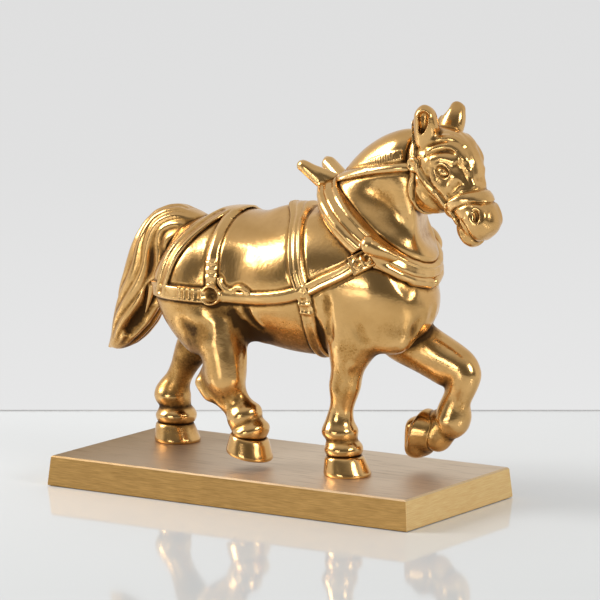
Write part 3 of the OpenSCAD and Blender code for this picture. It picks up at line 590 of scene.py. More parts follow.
cover, d, u = harness.band([[-19, 105.7], [-20, 120], [-20.5, 134], [-21.5, 146], [-22.5, 157]], 6)
keepers = bump(u, 9.6, 1.1) + bump(u, 13.4, 1.1) + bump(u, 17.2, 1.1)
harness.lay(both("hip_strap"), cover * (1.0 + 0.6 * bump(d, 0, 1.8) + 1.0 * keepers))

cover, d, u = harness.band([[-19, 105.5], [-96, 105.5]], 7.5)
bars = sum(bump(u, at, 0.95) for at in (9.0, 12.0, 15.0, 18.0))
harness.lay(["breeching"], cover * (1.0 + 0.35 * bump(d, 2.9, 0.8) + 0.9 * bars))
print("laid:", harness.straps[2:])

# %% [markdown]
# ## Traces, croup pad and rings
# The trace pulls from the collar to the ring on the hip. It is double in front and round behind,
# and a thin strap end curls over it beside the ring.
# The pad lies on top of the croup, over the straps, and the ring is a dished boss.

# %% Traces, croup pad and rings
cover, d, u = harness.band([[70, 131.5], [58, 123.5], [46, 117.5], [36.4, 112.6], [24, 108.6],
                            [8, 106.2], [-8, 105.6], [-19, 105.7]], 6.4)
front = smooth_step((40 - u) / 4)
harness.lay(both("trace"),
            cover * (1.0 + front * 0.9 * bump(d, 2.1, 0.8) + (1 - front) * 0.8 * bump(d, 0.4, 1.7)))
STRAP_END = [[[-14.8, 114.4], [-14.2, 112], [-11.4, 109.6], [-7, 108.4]],
             [[-8, 108.6], [-4.6, 110.6], [-1, 110.9], [3, 109]]]
for path in STRAP_END:
    cover, _, _ = harness.band(path, 2.6)
    harness.lay(both("trace"), cover * 1.5)

PAD_X, PAD_HALF, PAD_FOOT = -24.5, 7.0, 147.0
cover = (smooth_step((PAD_HALF - np.abs(harness.x - PAD_X)) / 3.0 + 0.5)
         * smooth_step((harness.z - PAD_FOOT) / 1.6 + 0.5))
harness.lay(["croup_pad"], 1.7, cover)

cover, r = harness.disc(-19, 106, 5.4)
dished = 2.3 * np.clip(1 - (r / 4.3) ** 2, 0, 1)
harness.lay(both("ring"), 2.0 + 0.9 * bump(r, 4.6, 0.7) - dished, cover)
print("laid:", harness.straps[5:])

# %% [markdown]
# ## Tug plate and reins
# A slanted plate joins each trace to the collar. It has a rim and a pair of loops for relief.
# The reins run back from the bridle, over the neck, to the hames.
# With all the straps laid, a second block of wax takes them, and the first stays bare for the body.

# %% Tug plate and reins
PLATE_X, PLATE_Z = 68.2, 130.2
PLATE_SLANT = math.radians(30)
PLATE_LONG, PLATE_HIGH = 6.9, 5.3


def on_plate(x, z):
    """Places of the side view, along and across the tug plate."""
    a = (x - PLATE_X) * math.cos(PLATE_SLANT) + (z - PLATE_Z) * math.sin(PLATE_SLANT)
    b = (z - PLATE_Z) * math.cos(PLATE_SLANT) - (x - PLATE_X) * math.sin(PLATE_SLANT)
    return a, b


a, b = on_plate(harness.x, harness.z)
cover = (smooth_step((PLATE_LONG - np.abs(a)) / 0.8 + 0.5)
         * smooth_step((PLATE_HIGH - np.abs(b)) / 0.8 + 0.5))
rim = np.maximum(bump(np.abs(a), 6.0, 0.7), bump(np.abs(b), 4.4, 0.7))
loops = bump(np.hypot(np.abs(a) - 2.6, b * 0.85), 1.9, 0.7) + bump(a, 0, 0.5) * (np.abs(b) < 3.4)
lift = 1.3 + 1.1 * smooth_step((a + 2) / 7)
harness.lay(both("tug_plate"), lift + 0.9 * np.maximum(rim, loops), cover)

cover, d, _ = harness.band([[96, 178.5], [84, 177], [68, 174.5], [52, 171], [36, 166.5], [26, 163]], 4.2)
harness.lay(both("rein"), cover * (1.0 + 0.7 * bump(d, 0, 1.4)))
harness.cut_moat(body)
harnessed = Wax(*box_of(*BODY), COARSE)
harnessed.field = body.field - harness.relief[:, None, :].astype(np.float32)
print("straps:", len(harness.straps), "on each side, highest", round(float(harness.relief.max()), 2), "mm")

# %% [markdown]
# ## The head
# The head is turned to the horse's right, so it is sculpted straight, on a finer block, and turned after.
# That way one stroke serves both cheeks.
# The ears are bars with a tip of their own width, and the far one is trimmed by a scoop.

# %% Straighten the head
POLL = np.array([88.0, -3.5, 180.0])
TURN = math.radians(-13)
turn = np.array([[math.cos(TURN), -math.sin(TURN), 0], [math.sin(TURN), math.cos(TURN), 0], [0, 0, 1]])


def straight(points):
    return (points - POLL) @ turn


def in_place(points):
    return points @ turn.T + POLL


head_points, head_faces = node_mesh("head")
pin_points, pin_faces = node_mesh("neck_dowels")
local = straight(head_points)
HEAD_BOX = (local.min(0) - MARGIN, local.max(0) + MARGIN)
head = Wax(*HEAD_BOX, FINE)
head.field = np.minimum(head.measure(local, head_faces), head.measure(straight(pin_points), pin_faces))
head.field = head.soften(head.field, 1.3)
head.set_true()
head.field -= 0.25
EARS = [([[11.5, -7.8, 12], [12.8, -9.8, 18.5], [13.4, -10.9, 23.4]], 5.7),
        ([[11.5, 7.8, 12], [13.2, 10.2, 18], [14.8, 12.0, 25.0]], 3.6)]
for ear, tip in EARS:
    head.tube(ear, 6.5, 1.0, tip=tip)
head.tube([[-7.4, 13.1, 29.3], [4.0, 2.1, 31.8]], 11.0, 0.8, hollow=True)
print("head wax:", head.shape, "voxels of", FINE, "mm")

# %% [markdown]
# ## The face
# The strokes follow the face in the photograph: wavy forelock, heavy brow, cheek, nostril and lips.
# They are drawn on the right cheek and mirrored, and a light averaging takes off their hard edges.

# %% Strokes on the face
FACE = [
    ([[18, -13.4, 2.2], [22, -12.5, 3.6], [25, -11.5, 4.0], [29, -9.6, 3.6], [33, -8, 1.6]], 3.6, 1.6),
    ([[20, -13.6, -6.5], [23, -12.9, -9.6], [27, -12.1, -11.2], [31.5, -10.9, -9.5]], 4.6, 0.5),
    ([[17.6, -13.8, -1], [18.6, -13.6, -8.5], [22.5, -13, -13.5]], 2.2, -0.7),
    ([[37.6, -5.4, 0], [38.6, -4.8, -5], [40.7, -3.6, -10]], 2.8, 1.1),
    ([[28.4, -10.6, -15.5], [32.6, -10.2, -11.5], [35.4, -8, -7]], 3.8, -1.1),
    ([[14.5, -10.8, 10.4], [19, -8.8, 12.4], [23.2, -7.1, 13.6], [27.4, -5.6, 13.6], [31.2, -4.4, 11.8],
      [34.4, -3.8, 8.4]], 3.0, 1.6),
    ([[14.8, -12.8, 5.6], [19.2, -10.9, 8.2], [23, -9.2, 9.6], [28, -7.4, 10], [32.2, -6.3, 8.4],
      [35.2, -6, 5.2], [37.2, -6, 1.2]], 2.8, 1.5),
    ([[15, -11.8, 8.2], [19, -9.9, 10.5], [23, -8.2, 11.8], [27.8, -6.5, 12], [31.8, -5.3, 10.4],
      [34.8, -5, 7]], 1.3, -1.2),
    ([[15, -13.4, 3.2], [19, -12, 5.8], [23, -10.5, 7], [28, -8.7, 7.4], [32, -7.5, 5.8]], 1.4, -1.2),
    ([[22, -2.6, 16], [29, -1.8, 13.6], [34, -1.6, 9.5], [36.6, -1.6, 4.5], [38, -1.6, 0]], 2.8, 1.0),
    ([[43, -9.4, -20.4], [45.4, -7.6, -18.8], [48.4, -6, -21.4], [48.8, -7.0, -26.2], [46, -9, -28],
      [43, -9.8, -24.8], [43, -9.4, -20.4]], 2.6, 0.9),
    ([[36.5, -9.8, -26.2], [40, -9.6, -29.6], [40.8, -6.8, -34], [40.4, -4.2, -36.3],
      [39.5, 0, -38]], 1.5, -1.4),
    ([[38.5, -9.9, -24.5], [41.5, -9.9, -27.5], [43.6, -8.6, -31], [43.5, -5.5, -34.5],
      [43, 0, -36.5]], 2.4, 0.8),
    ([[32, -8.8, -29.5], [35, -6.5, -35], [37.5, 0, -38.5]], 3.0, 1.0),
    ([[8, -12, -9], [6.5, -12.2, -14.5], [5.5, -11.5, -19]], 1.8, -0.8),
    ([[10, -12.4, -6], [12, -13.6, -15], [15, -12.6, -22]], 4.6, 0.8),
]
for points, width, rise in FACE:
    for side in (RIGHT, LEFT):
        head.ridge(np.array(points, float) * [1, -side, 1], width, rise, taper=0.12)
head.field = head.soften(head.field, 0.9)
print("strokes on each cheek:", len(FACE))

# %% [markdown]
# ## Eyes, nostrils and ear cups
# The eye is a lidded ball in a shallow socket, with a fold above it and a small pupil.
# Separate eyeballs would suit a living horse, but here it is all one metal, so the eye is carved as well.

# %% Carve eyes, nostrils and ear cups
EYE = np.array([26.6, -12.0, -2.8])
EYE_BAG = np.array([32.2, -9.4, -4.2])
NOSTRIL = np.array([[45.6, -8.7, -21.7], [46.2, -8.4, -23.3], [46.4, -8.7, -25.0]])
EAR_CUP = np.array([[13.9, -13.8, 17.0], [15.2, -14.5, 20.3], [15.6, -14.7, 24.0]])


def almond(wide, high, turns):
    """Places on an eye's outline: pointed at both corners and tilted down towards the nose."""
    across = wide * np.cos(turns)
    over = high * np.sin(turns) * np.abs(np.sin(turns)) ** 0.4 - 0.28 * across
    return EYE + np.column_stack([across, 0.33 * across, over])


all_round = np.linspace(0, 2 * math.pi, 25)
over_the_eye = np.linspace(0.1 * math.pi, 0.95 * math.pi, 9)
for side in (RIGHT, LEFT):
    flip = np.array([1, -side, 1])
    head.ball(EYE * flip, 5.6, -0.4)
    head.ball(EYE_BAG * flip, 6.0, 1.0)
    head.ridge(almond(4.6, 3.9, over_the_eye) * flip, 1.5, 0.8, taper=0.3)
    head.ball(EYE * flip, 3.4, 0.9)
    head.ridge(almond(3.3, 2.3, all_round) * flip, 1.1, -1.1)
    head.ball((EYE + [0.5, 0, 0.2]) * flip, 1.1, -0.5)
    head.tube(NOSTRIL * flip, 1.5, 0.7, hollow=True)
    head.tube(EAR_CUP * flip, 1.7, 1.2, hollow=True, tip=2.7)
print("eyes carved at", EYE, "and its mirror")

# %% [markdown]
# ## The bridle
# Crown, cheek, throat and nose straps meet at a rosette behind the eye, and the bit has a small ring.
# The bridle is laid on like the harness, as a map over the head's own side view.
# The rosette stands too proud for a map, so it is a short bar with a ring round it.

# %% Lay the bridle
ROSETTE_X, ROSETTE_Z = 7.8, -0.6
bridle = StrapMap(head)
cover, d, _ = bridle.band([[7.5, -1], [4.5, -9], [4, -19], [7, -34]], 3.6)
bridle.lay(["throat_latch"], cover * (0.7 + 0.4 * bump(d, 0, 1.2)))
cover, d, _ = bridle.band([[7.5, -3], [6.5, 5], [5, 13], [3.5, 24]], 3.6)
bridle.lay(["crown_strap"], cover * (0.7 + 0.5 * bump(d, 1.1, 0.6)))
cover, d, _ = bridle.band([[7, 1], [13, -5.5], [18.4, -11.2], [22.9, -16], [27, -22], [31.5, -27]], 3.6)
bridle.lay(both("cheek_strap"), cover * (0.8 + 0.5 * bump(d, 0, 1.2)))
cover, d, _ = bridle.band([[20, -30], [29.7, -20], [34.7, -17], [38.9, -15.2], [42.5, -14.2],
                           [46, -14.4], [54, -15.5]], 4.6, 0.9)
bridle.lay(["noseband"], cover * (0.7 + 0.5 * bump(d, 0, 1.8)))
cover, _ = bridle.disc(ROSETTE_X, ROSETTE_Z, 4.0)
bridle.lay(both("rosette"), 1.0, cover)
cover, r = bridle.disc(32.6, -27.6, 1.7)
bridle.lay(both("bit_ring"), 1.3 - 0.6 * bump(r, 0, 0.7), cover)
bridle.cut_moat(head)

bridled = Wax(*HEAD_BOX, FINE)
bridled.field = head.field - bridle.relief[:, None, :].astype(np.float32)
turns = np.linspace(0, 2 * math.pi, 17)
ring = np.column_stack([ROSETTE_X + 2.7 * np.cos(turns), np.full(17, -13.9),
                        ROSETTE_Z + 2.7 * np.sin(turns)])
boss = np.array([[ROSETTE_X, -9, ROSETTE_Z], [ROSETTE_X, -11, ROSETTE_Z]])
for side in (RIGHT, LEFT):
    flip = [1, -side, 1]
    bridled.tube(boss * flip, 3.5, 0.6)
    bridled.tube(ring * flip, 1.15, 0.5)
print("bridle:", len(bridle.straps), "kinds of strap")

# %% [markdown]
# ## Collar and hames
# The collar is a stuffed roll, and the hames are the two bars that lie in its groove and end in horns.
# They are castings of their own, so each gets its own small block of wax.
# The collar's ridges run round it at fixed distances along its axis, which one profile gives all the way round.
# Where the tug plate lies, a seat is cut for it.

# %% Collar and hames
CAST = {}


def side_of(name):
    return RIGHT if name.startswith("right") else LEFT


def casting(name, width, swell):
    """A CAD piece as its own block of wax, softened and swollen a little."""
    wax = Wax(*box_of(name), COARSE)
    wax.field = wax.soften(wax.measure(*node_mesh(name)), width)
    wax.set_true()
    wax.field -= swell
    CAST[name] = wax
    return wax


collar = casting("collar", 1.4, 0.2)
along = ahead_of_collar(collar)
rolls = 1.1 * bump(along, 6.4, 0.9) + 1.2 * bump(along, 2.4, 2.0) - 0.9 * bump(along, -0.8, 0.8)
collar.field -= rolls.astype(np.float32)

HORNS = {"right_hame": ([[21.5, -10.5, 173.2], [27, -9, 170.6], [33, -7, 168], [38, -4, 165]], 2.9),
         "left_hame": ([[26, 8, 172.4], [29, 7, 170.6], [34, 5, 167.5], [39, 3, 164.5]], 3.9)}
HAME_FOOT = np.array([[88, -12, 119.5], [92.5, -2, 117.5]])
for name, (horn, thick) in HORNS.items():
    hame = casting(name, 0.9, 0.3)
    hame.tube(horn, thick, 1.5, tip=4.4)
    if side_of(name) == RIGHT:
        hame.tube([[74.4, -30.6, 138.8], [79.5, -28.0, 136.2], [84.5, -23.5, 133]], 4.9, 0.8, tip=2.6)
    hame.tube(HAME_FOOT * [1, -side_of(name), 1], 2.8, 1.5)

for name in ("collar", "right_hame", "left_hame"):
    wax = CAST[name]
    x, _, z = wax.grid_axes()
    a, b = on_plate(x, z)
    seat = np.minimum(PLATE_LONG - np.abs(a), PLATE_HIGH - np.abs(b))
    wax.field = np.maximum(wax.field, np.minimum(seat, FAR)).astype(np.float32)
print("castings so far:", list(CAST))

# %% [markdown]
# ## The tail
# The tail is a heavy fall of hair, cast in thick wavy locks that follow its bend.
# Hair curves would give thousands of strands, where the bronze has about a dozen thick locks.
# So every voxel is told where it lies along the tail's spine and round it,
# and a wave in those two numbers makes the locks. Bars of wax then give the dock, the tip and a stray curl.

# %% Places along and round the tail
tail = casting("tail", 1.6, 0.3)
spine = curve([[-42, 0, 132], [-50, 0, 135.5], [-59, 0, 136.6], [-68.5, 0, 134], [-76.5, 0, 124.6],
               [-80.5, 0, 113], [-84, 0, 100], [-88.5, 0, 87], [-96.5, 0, 75], [-104, 0, 67.5]], 16)
places = tuple(axis.astype(np.float32) for axis in tail.grid_axes())
_, share = near_line(spine, places)
steps = np.concatenate([[0.0], np.cumsum(np.linalg.norm(np.diff(spine, axis=0), axis=1))])
steps /= steps[-1]
ahead = np.gradient(spine, axis=0)
bend_x = np.interp(share, steps, spine[:, 0])
bend_z = np.interp(share, steps, spine[:, 2])
tilt = np.interp(share, steps, np.unwrap(np.arctan2(ahead[:, 2], ahead[:, 0])))
outward = (places[2] - bend_z) * np.cos(tilt) - (places[0] - bend_x) * np.sin(tilt)
round_spine = np.arctan2(places[1] + 0 * outward, outward)
print("tail wax:", tail.shape, "voxels")

# %% Comb the tail
tail.tube([[-54, -5, 133], [-62, -5.5, 127], [-66, -5.5, 118], [-70, -5, 107], [-74, -5, 98]], 6.4, 3.0)
fade = smooth_step((share - 0.05) / 0.12) * smooth_step((1.0 - share) / 0.15)
wave = 0.45 * np.sin(8 * share + 1.0)
locks = np.abs(np.sin(6.5 * (round_spine + wave) + 0.7 * np.sin(7 * share)))
hairs = np.cos(26 * (round_spine + wave) + 1.5 * np.sin(5 * share))
hairs = 0.22 * hairs * smooth_step((share - 0.3) / 0.15)
tail.field -= (fade * (1.4 * locks - 0.9 + hairs)).astype(np.float32)
tail.tube([[-35, 0, 125], [-46, 0, 132]], 7.0, 2.0)
tail.tube([[-62, 0, 137.5], [-52, 0, 136.6], [-43, 0, 133.4]], 7.6, 2.0)
tail.tube([[-98, 0, 73.4], [-107.3, 0, 66.6]], 5.6, 2.0, tip=1.0)
tail.tube([[-50, -2, 128], [-58, -3, 121], [-64, -3, 108]], 6.5, 3.0)
dock = 0.30 * (places[0] + 55) + 0.954 * (places[2] - 145.0) + 0.02 * places[1] ** 2
tail.field = np.maximum(tail.field, np.where(places[0] > -60, dock, -FAR)).astype(np.float32)
tail.field = tail.soften(tail.field, 1.1)
tail.tube([[-69, -12, 99], [-75, -12, 89], [-88, -10, 77]], 8.0, 1.5, hollow=True, tip=3.6)
tail.tube([[-73.5, -8, 103], [-75.5, -8, 96], [-78, -8, 88.5]], 2.2, 1.0, tip=0.4)
print("tail combed along", round(float(np.linalg.norm(np.diff(spine, axis=0), axis=1).sum())), "mm of spine")

# %% [markdown]
# ## The hooves
# Three hooves stand flat on the base and need only rounded edges, which the softening gives.
# The lifted one shows its underside, so it gets more wax at the toe and a flat sole, cut by a plane.

# %% Hooves
LIFTED_SOLE = 70.4
for name in ("right_fore_hoof", "left_fore_hoof", "right_hind_hoof", "left_hind_hoof"):
    casting(name, 0.6, 0.35)
lifted = CAST["left_fore_hoof"]
for y in (15.5, 19.5, 23.5):
    lifted.tube([[74.6, y, 38], [73.9, y, 29.6]], 6.6, 2.0)
sole = LIFTED_SOLE - lifted.grid_axes()[0]
lifted.field = np.maximum(lifted.field, sole).astype(np.float32)
print("separate castings:", len(CAST))

# %% [markdown]
# ## Where patina gathers, and painted shade
# Old bronze is bright where hands and rags rub it, and brown in its hollows.
# Cycles has a pointiness value for this, but it depends on the mesh's density and the export loses it.
# Here all the wax is put into one block, and its own averages tell how deep in a hollow a point lies and how
# crowded it is by other parts.
# Beside the patina, shade is painted into the colour: between the parts, on faces that look down, low on the
# horse and towards its rear.
# DARK_SPOTS are listed places with more painted shade over the patina, most of them low on the body, between
# the legs and under chest and tail, each with its size and strength.

# %% One block of wax with everything
whole = Wax(*box_of(*[n for n in nodes if not n.startswith(("base", "screw"))]), 2 * FINE)


def onto_whole(wax, turned=False):
    """Adds another block's surface to the whole horse."""
    points, faces = wax.skin(0.02)
    if turned:
        points = in_place(points)
    whole.field = np.minimum(whole.field, whole.measure(points, faces))


onto_whole(harnessed)
onto_whole(bridled, turned=True)
for wax in CAST.values():
    onto_whole(wax)
near_average = whole.soften(whole.field, 1.6, 2.5)
wide_average = whole.soften(whole.field, 5.0, 3.5)
# How much wax crowds round each place; it paints shade between the legs and under the belly.
crowding_shade = whole.soften((whole.field < 0).astype(np.float32), 12.0)
print("whole horse:", whole.shape, "voxels")

# %% How much patina and painted shade a point gets
OPEN_GROUND = 0.53
# Weights of the painted shade on faces that look down, low on the horse and towards its rear.
UNDERSIDE_SHADE, LOW_DOWN_SHADE, REAR_SHADE = 0.5, 0.27, 0.19
# Listed places that get painted shade over the patina: place, size and strength.
DARK_SPOTS = [
    ([-6, 27, 95], 13, 0.45), ([1, 17, 87], 13, 0.5), ([41, 23, 90], 10, 0.45), ([49, 30, 106], 8, 0.25),
    ([-29, 34, 84], 11, 0.4), ([-16, 33, 98], 9, 0.25), ([78, 12, 163], 9, 0.12), ([82, 12, 92], 14, 0.38),
    ([58, 27, 84], 10, 0.28), ([51, 21, 61], 9, 0.28), ([-62, 13, 62], 16, 0.32), ([-80, 9, 88], 13, 0.15),
]


def patina_and_shade(points, facing):
    """Above 0 in a hollow and below 0 on a ridge, for patina; more for painted shade between the parts, on
    faces that look down, low down, towards the rear and at the dark spots.
    """
    fine = -whole.sample(points, near_average)
    wide = -whole.sample(points, wide_average)
    # Hollows give patina; crowding by other parts adds painted shade.
    crowded_shade = np.clip(whole.sample(points, crowding_shade) - OPEN_GROUND, 0, 1)
    total = 0.9 * fine + 0.4 * wide + 1.8 * crowded_shade
    # Painted shade on faces that look down, low on the horse and towards its rear.
    total = total + UNDERSIDE_SHADE * np.clip(-facing[:, 2], 0, 1) ** 2
    total = total + LOW_DOWN_SHADE * smooth_step((108 - points[:, 2]) / 40)
    total = total + REAR_SHADE * smooth_step((-10 - points[:, 0]) / 25)
    # The dark spots add painted shade over the patina.
    mirrored = np.column_stack([points[:, 0], np.abs(points[:, 1]), points[:, 2]])
    for place, radius, amount in DARK_SPOTS:
        far = np.linalg.norm(mirrored - place, axis=1) / radius
        total = total + amount * np.clip(1 - far ** 2, 0, 1) ** 2
    return total


print("stains:", len(DARK_SPOTS), "on each side")

# %% [markdown]
# ## From wax to metal
# Each field becomes a mesh, and goes back to metres.
# Shading could come from the faces alone, but then every voxel step would show in the mirror finish.
# So every point keeps the way its field faces as a custom normal, and light runs smoothly over the joins.
# How much patina and painted shade a point gets goes into an attribute that the bronze reads.

# %% A piece from points and faces
BOX_LOW, BOX_HIGH = (np.array(corner) * MM for corner in cad_box)
pieces = []


def new_piece(name, points, faces, facing, slot):
    """A Blender mesh in metres, with its own normals and its patina and painted shade."""
    mesh = bpy.data.meshes.new(name)
    mesh.vertices.add(len(points))
    kept_in = np.clip(points, BOX_LOW, BOX_HIGH)
    mesh.vertices.foreach_set("co", (kept_in / MM).astype(np.float32).ravel())
    mesh.loops.add(len(faces) * 3)
    mesh.loops.foreach_set("vertex_index", np.asarray(faces, np.int32).ravel())
    mesh.polygons.add(len(faces))
    mesh.polygons.foreach_set("loop_start", np.arange(0, len(faces) * 3, 3, dtype=np.int32))
    mesh.update(calc_edges=True)
    mesh.polygons.foreach_set("use_smooth", np.ones(len(faces), bool))
    # The attribute named hollow holds patina in the hollows and painted shade between parts, underneath, low
    # down and behind.
    store = mesh.attributes.new("hollow", "FLOAT", "POINT")
    store.data.foreach_set("value", np.asarray(patina_and_shade(points, facing), np.float32))
    mesh.normals_split_custom_set_from_vertices(np.asarray(facing, np.float32))
    made = bpy.data.objects.new("look_" + name, mesh)
    bpy.context.scene.collection.objects.link(made)
    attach(made, "root")
    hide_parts(name)
    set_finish(made, slot)
    pieces.append(made)


print("pieces stay between", BOX_LOW.round(1), "and", BOX_HIGH.round(1), "mm")


# %% Cutting and closing
def part_of(points, faces, facing, chosen):
    """Only the chosen faces, with their points renumbered."""
    kept = faces[chosen]
    used, numbers = np.unique(kept, return_inverse=True)
    return points[used], numbers.reshape(-1, 3), facing[used]


def rim_edges(faces):
    """The edges that belong to one face only, in the face's direction."""
    edges = np.concatenate([faces[:, [0, 1]], faces[:, [1, 2]], faces[:, [2, 0]]])
    code = edges[:, 0] * (faces.max() + 1) + edges[:, 1]
    back = edges[:, 1] * (faces.max() + 1) + edges[:, 0]
    return edges[~np.isin(code, back)]


def close_inside(points, faces, facing):
    """Closes each open rim of a casting with faces that run to the middle of that rim."""
    edges = rim_edges(faces)
    if len(edges) == 0:
        return points, faces, facing
    rim = np.arange(len(points))
    before = None
    while before is None or (rim != before).any():
        before = rim.copy()
        lower = np.minimum(rim[edges[:, 0]], rim[edges[:, 1]])
        np.minimum.at(rim, edges[:, 0], lower)
        np.minimum.at(rim, edges[:, 1], lower)
    rims, which = np.unique(rim[edges[:, 0]], return_inverse=True)
    cores = np.array([points[edges[which == i, 0]].mean(0) for i in range(len(rims))])
    lids = np.column_stack([edges[:, 1], edges[:, 0], len(points) + which])
    ways = np.array([facing[edges[which == i, 0]].mean(0) for i in range(len(rims))])
    return np.vstack([points, cores]), np.vstack([faces, lids]), np.vstack([facing, ways])


def back_up(points, faces, facing, depth):
    """Gives a thin surface a back and sides, so that a strap is a closed piece."""
    edges = rim_edges(faces)
    n = len(points)
    inner = points - facing * depth
    painted_walls = np.vstack([np.column_stack([edges[:, 1], edges[:, 0], edges[:, 0] + n]),
                       np.column_stack([edges[:, 1], edges[:, 0] + n, edges[:, 1] + n])])
    closed = np.vstack([faces, faces[:, ::-1] + n, painted_walls])
    return np.vstack([points, inner]), closed, np.vstack([facing, -facing])


print("tools for pieces:", [tool.__name__ for tool in (part_of, rim_edges, close_inside, back_up)])

# %% [markdown]
# ## Straps as pieces
# Every strap is a piece of its own in the part, though on the bronze it is one casting with the body.
# A face of the harnessed wax belongs to the strap that is on top at that place of the map.
# The faces of a strap get a back that reaches into the body, deeper behind the tall tug plates.

# %% Cut the straps
STRAP_DEPTH = 1.6
PLATE_DEPTH = 3.6


def cut_straps(wax, strap_map, turned=False):
    """The strap pieces: the raised faces of a field, each with a back."""
    points, faces, facing = wax.fair_skin(0.004)
    middle = points[faces].mean(1)
    top = strap_map.top
    i = np.clip(np.rint((middle[:, 0] - strap_map.x[0, 0]) / wax.size).astype(int), 0, top.shape[0] - 1)
    k = np.clip(np.rint((middle[:, 2] - strap_map.z[0, 0]) / wax.size).astype(int), 0, top.shape[1] - 1)
    label = top[i, k]
    for number, names in enumerate(strap_map.straps):
        for name in names:
            chosen = label == number
            if len(names) == 2:
                chosen &= (middle[:, 1] < 0) == name.startswith("right")
            if not chosen.any():
                print("no faces for", name)
                continue
            depth = PLATE_DEPTH if name.endswith("plate") else STRAP_DEPTH
            p, f, n = back_up(*part_of(points, faces, facing, chosen), depth)
            if turned:
                p, n = in_place(p), n @ turn.T
            new_piece(name, p, f, n, "harness_bronze")


cut_straps(harnessed, harness)
cut_straps(bridled, bridle, turned=True)
print("strap pieces:", len(pieces))

# %% [markdown]
# ## Castings as pieces
# The body's mesh is shared out to the casting that each face came from, and each share is closed inside.
# Faces that came from a bar of wax have no casting of their own, and take that of their neighbours.

# %% Share out the body
points, faces, facing = body.fair_skin()
middle = points[faces].mean(1)
spots = np.rint((middle - body.low) / body.size).astype(int)
spots = np.clip(spots, 0, np.array(body.shape) - 1)
label = owner[spots[:, 0], spots[:, 1], spots[:, 2]].astype(int)
while (label < 0).any():
    known = label >= 0
    mark = np.full(len(points), -1)
    mark[faces[known].ravel()] = np.repeat(label[known], 3)
    label[~known] = mark[faces[~known]].max(1)
for number, name in enumerate(BODY):
    new_piece(name, *close_inside(*part_of(points, faces, facing, label == number)), "cast_bronze")

p, f, n = head.fair_skin()
new_piece("head", in_place(p), f, n @ turn.T, "cast_bronze")
for name, wax in CAST.items():
    slot = "cast_bronze" if name == "tail" or name.endswith("hoof") else "harness_bronze"
    new_piece(name, *wax.fair_skin(), slot)
print("pieces:", len(pieces), "with", sum(len(made.data.polygons) for made in pieces), "triangles")

# %% [markdown]
# ## Metal, felt and steel
# All finishes are built from nodes, so they need no pictures and follow the pieces wherever they go.
# A few small helpers keep the node trees readable: a ramp, a mix, a sum, and noise in the object's own space.


# %% Material tools
def new_material(name):
    made = bpy.data.materials.new(name)
    made.use_nodes = True
    tree = made.node_tree
    return made, tree, tree.nodes["Principled BSDF"]


def add(tree, kind, **settings):
    """A new node, with the given sockets and settings."""
    node = tree.nodes.new(kind)
    for key, value in settings.items():
        if key in node.inputs:
            node.inputs[key].default_value = value
        else:
            setattr(node, key, value)
    return node


def feed(tree, socket, value):
    """Sets a socket to a number or a colour, or links it to another socket."""
    if isinstance(value, tuple):
        socket.default_value = (*value, 1)
    elif isinstance(value, (int, float)):
        socket.default_value = value
    else:
        tree.links.new(value, socket)


def ramp(tree, source, stops):
    """A colour ramp fed by a socket."""
    node = tree.nodes.new("ShaderNodeValToRGB")
    node.color_ramp.elements.remove(node.color_ramp.elements[1])
    for i, (at, colour) in enumerate(stops):
        point = node.color_ramp.elements[0] if i == 0 else node.color_ramp.elements.new(at)
        point.position = at
        point.color = (*colour, 1)
    tree.links.new(source, node.inputs["Fac"])
    return node.outputs["Color"]


def rise_between(tree, source, low, high, most=1.0):
    """Black below the low value, and grey or white above the high one."""
    return ramp(tree, source, [(low, (0, 0, 0)), (high, (most, most, most))])


def math_node(tree, operation, *values):
    node = tree.nodes.new("ShaderNodeMath")
    node.operation = operation
    for socket, value in zip(node.inputs, values):
        feed(tree, socket, value)
    return node.outputs[0]


def mix_colour(tree, factor, a, b, blend="MIX"):
    node = tree.nodes.new("ShaderNodeMix")
    node.data_type = "RGBA"
    node.blend_type = blend
    for number, value in ((0, factor), (6, a), (7, b)):
        feed(tree, node.inputs[number], value)
    return node.outputs[2]


def object_place(tree):
    return tree.nodes.new("ShaderNodeTexCoord").outputs["Object"]


def xyz(tree, source):
    node = tree.nodes.new("ShaderNodeSeparateXYZ")
    tree.links.new(source, node.inputs[0])
    return node.outputs


def noise(tree, scale, detail=4.0, rough=0.55, stretch=None):
    """Noise in the object's own space, drawn out along its axes if asked."""
    place = object_place(tree)
    if stretch is not None:
        mapping = add(tree, "ShaderNodeMapping")
        mapping.inputs["Scale"].default_value = stretch
        tree.links.new(place, mapping.inputs["Vector"])
        place = mapping.outputs["Vector"]
    node = add(tree, "ShaderNodeTexNoise", Scale=scale, Detail=detail, Roughness=rough)
    tree.links.new(place, node.inputs["Vector"])
    return node.outputs["Fac"]


print("materials before the bronze:", len(bpy.data.materials))

# %% [markdown]
# ## Bronze
# Polished bronze is a mirror with colour, so its looks come mostly from what it reflects.
# A single colour with metallic at 1 would look like plastic plating.
# The finish adds three things: orange-brown and then dark brown where the attribute is high, which is patina in
# the hollows and painted shade between the parts, underneath, low down and behind, a slow change of colour, and
# fine pits and rubbing marks that make the highlights less perfect.

# %% Bronze
# Patina colours, which also serve as painted shade.
AMBER_PATINA_SHADE = (0.52, 0.27, 0.075)
BROWN_PATINA_SHADE = (0.08, 0.04, 0.014)


def uneven(tree, source, amount):
    """A noise that lightens as much as it darkens."""
    return math_node(tree, "MULTIPLY", math_node(tree, "SUBTRACT", source, 0.5), amount)


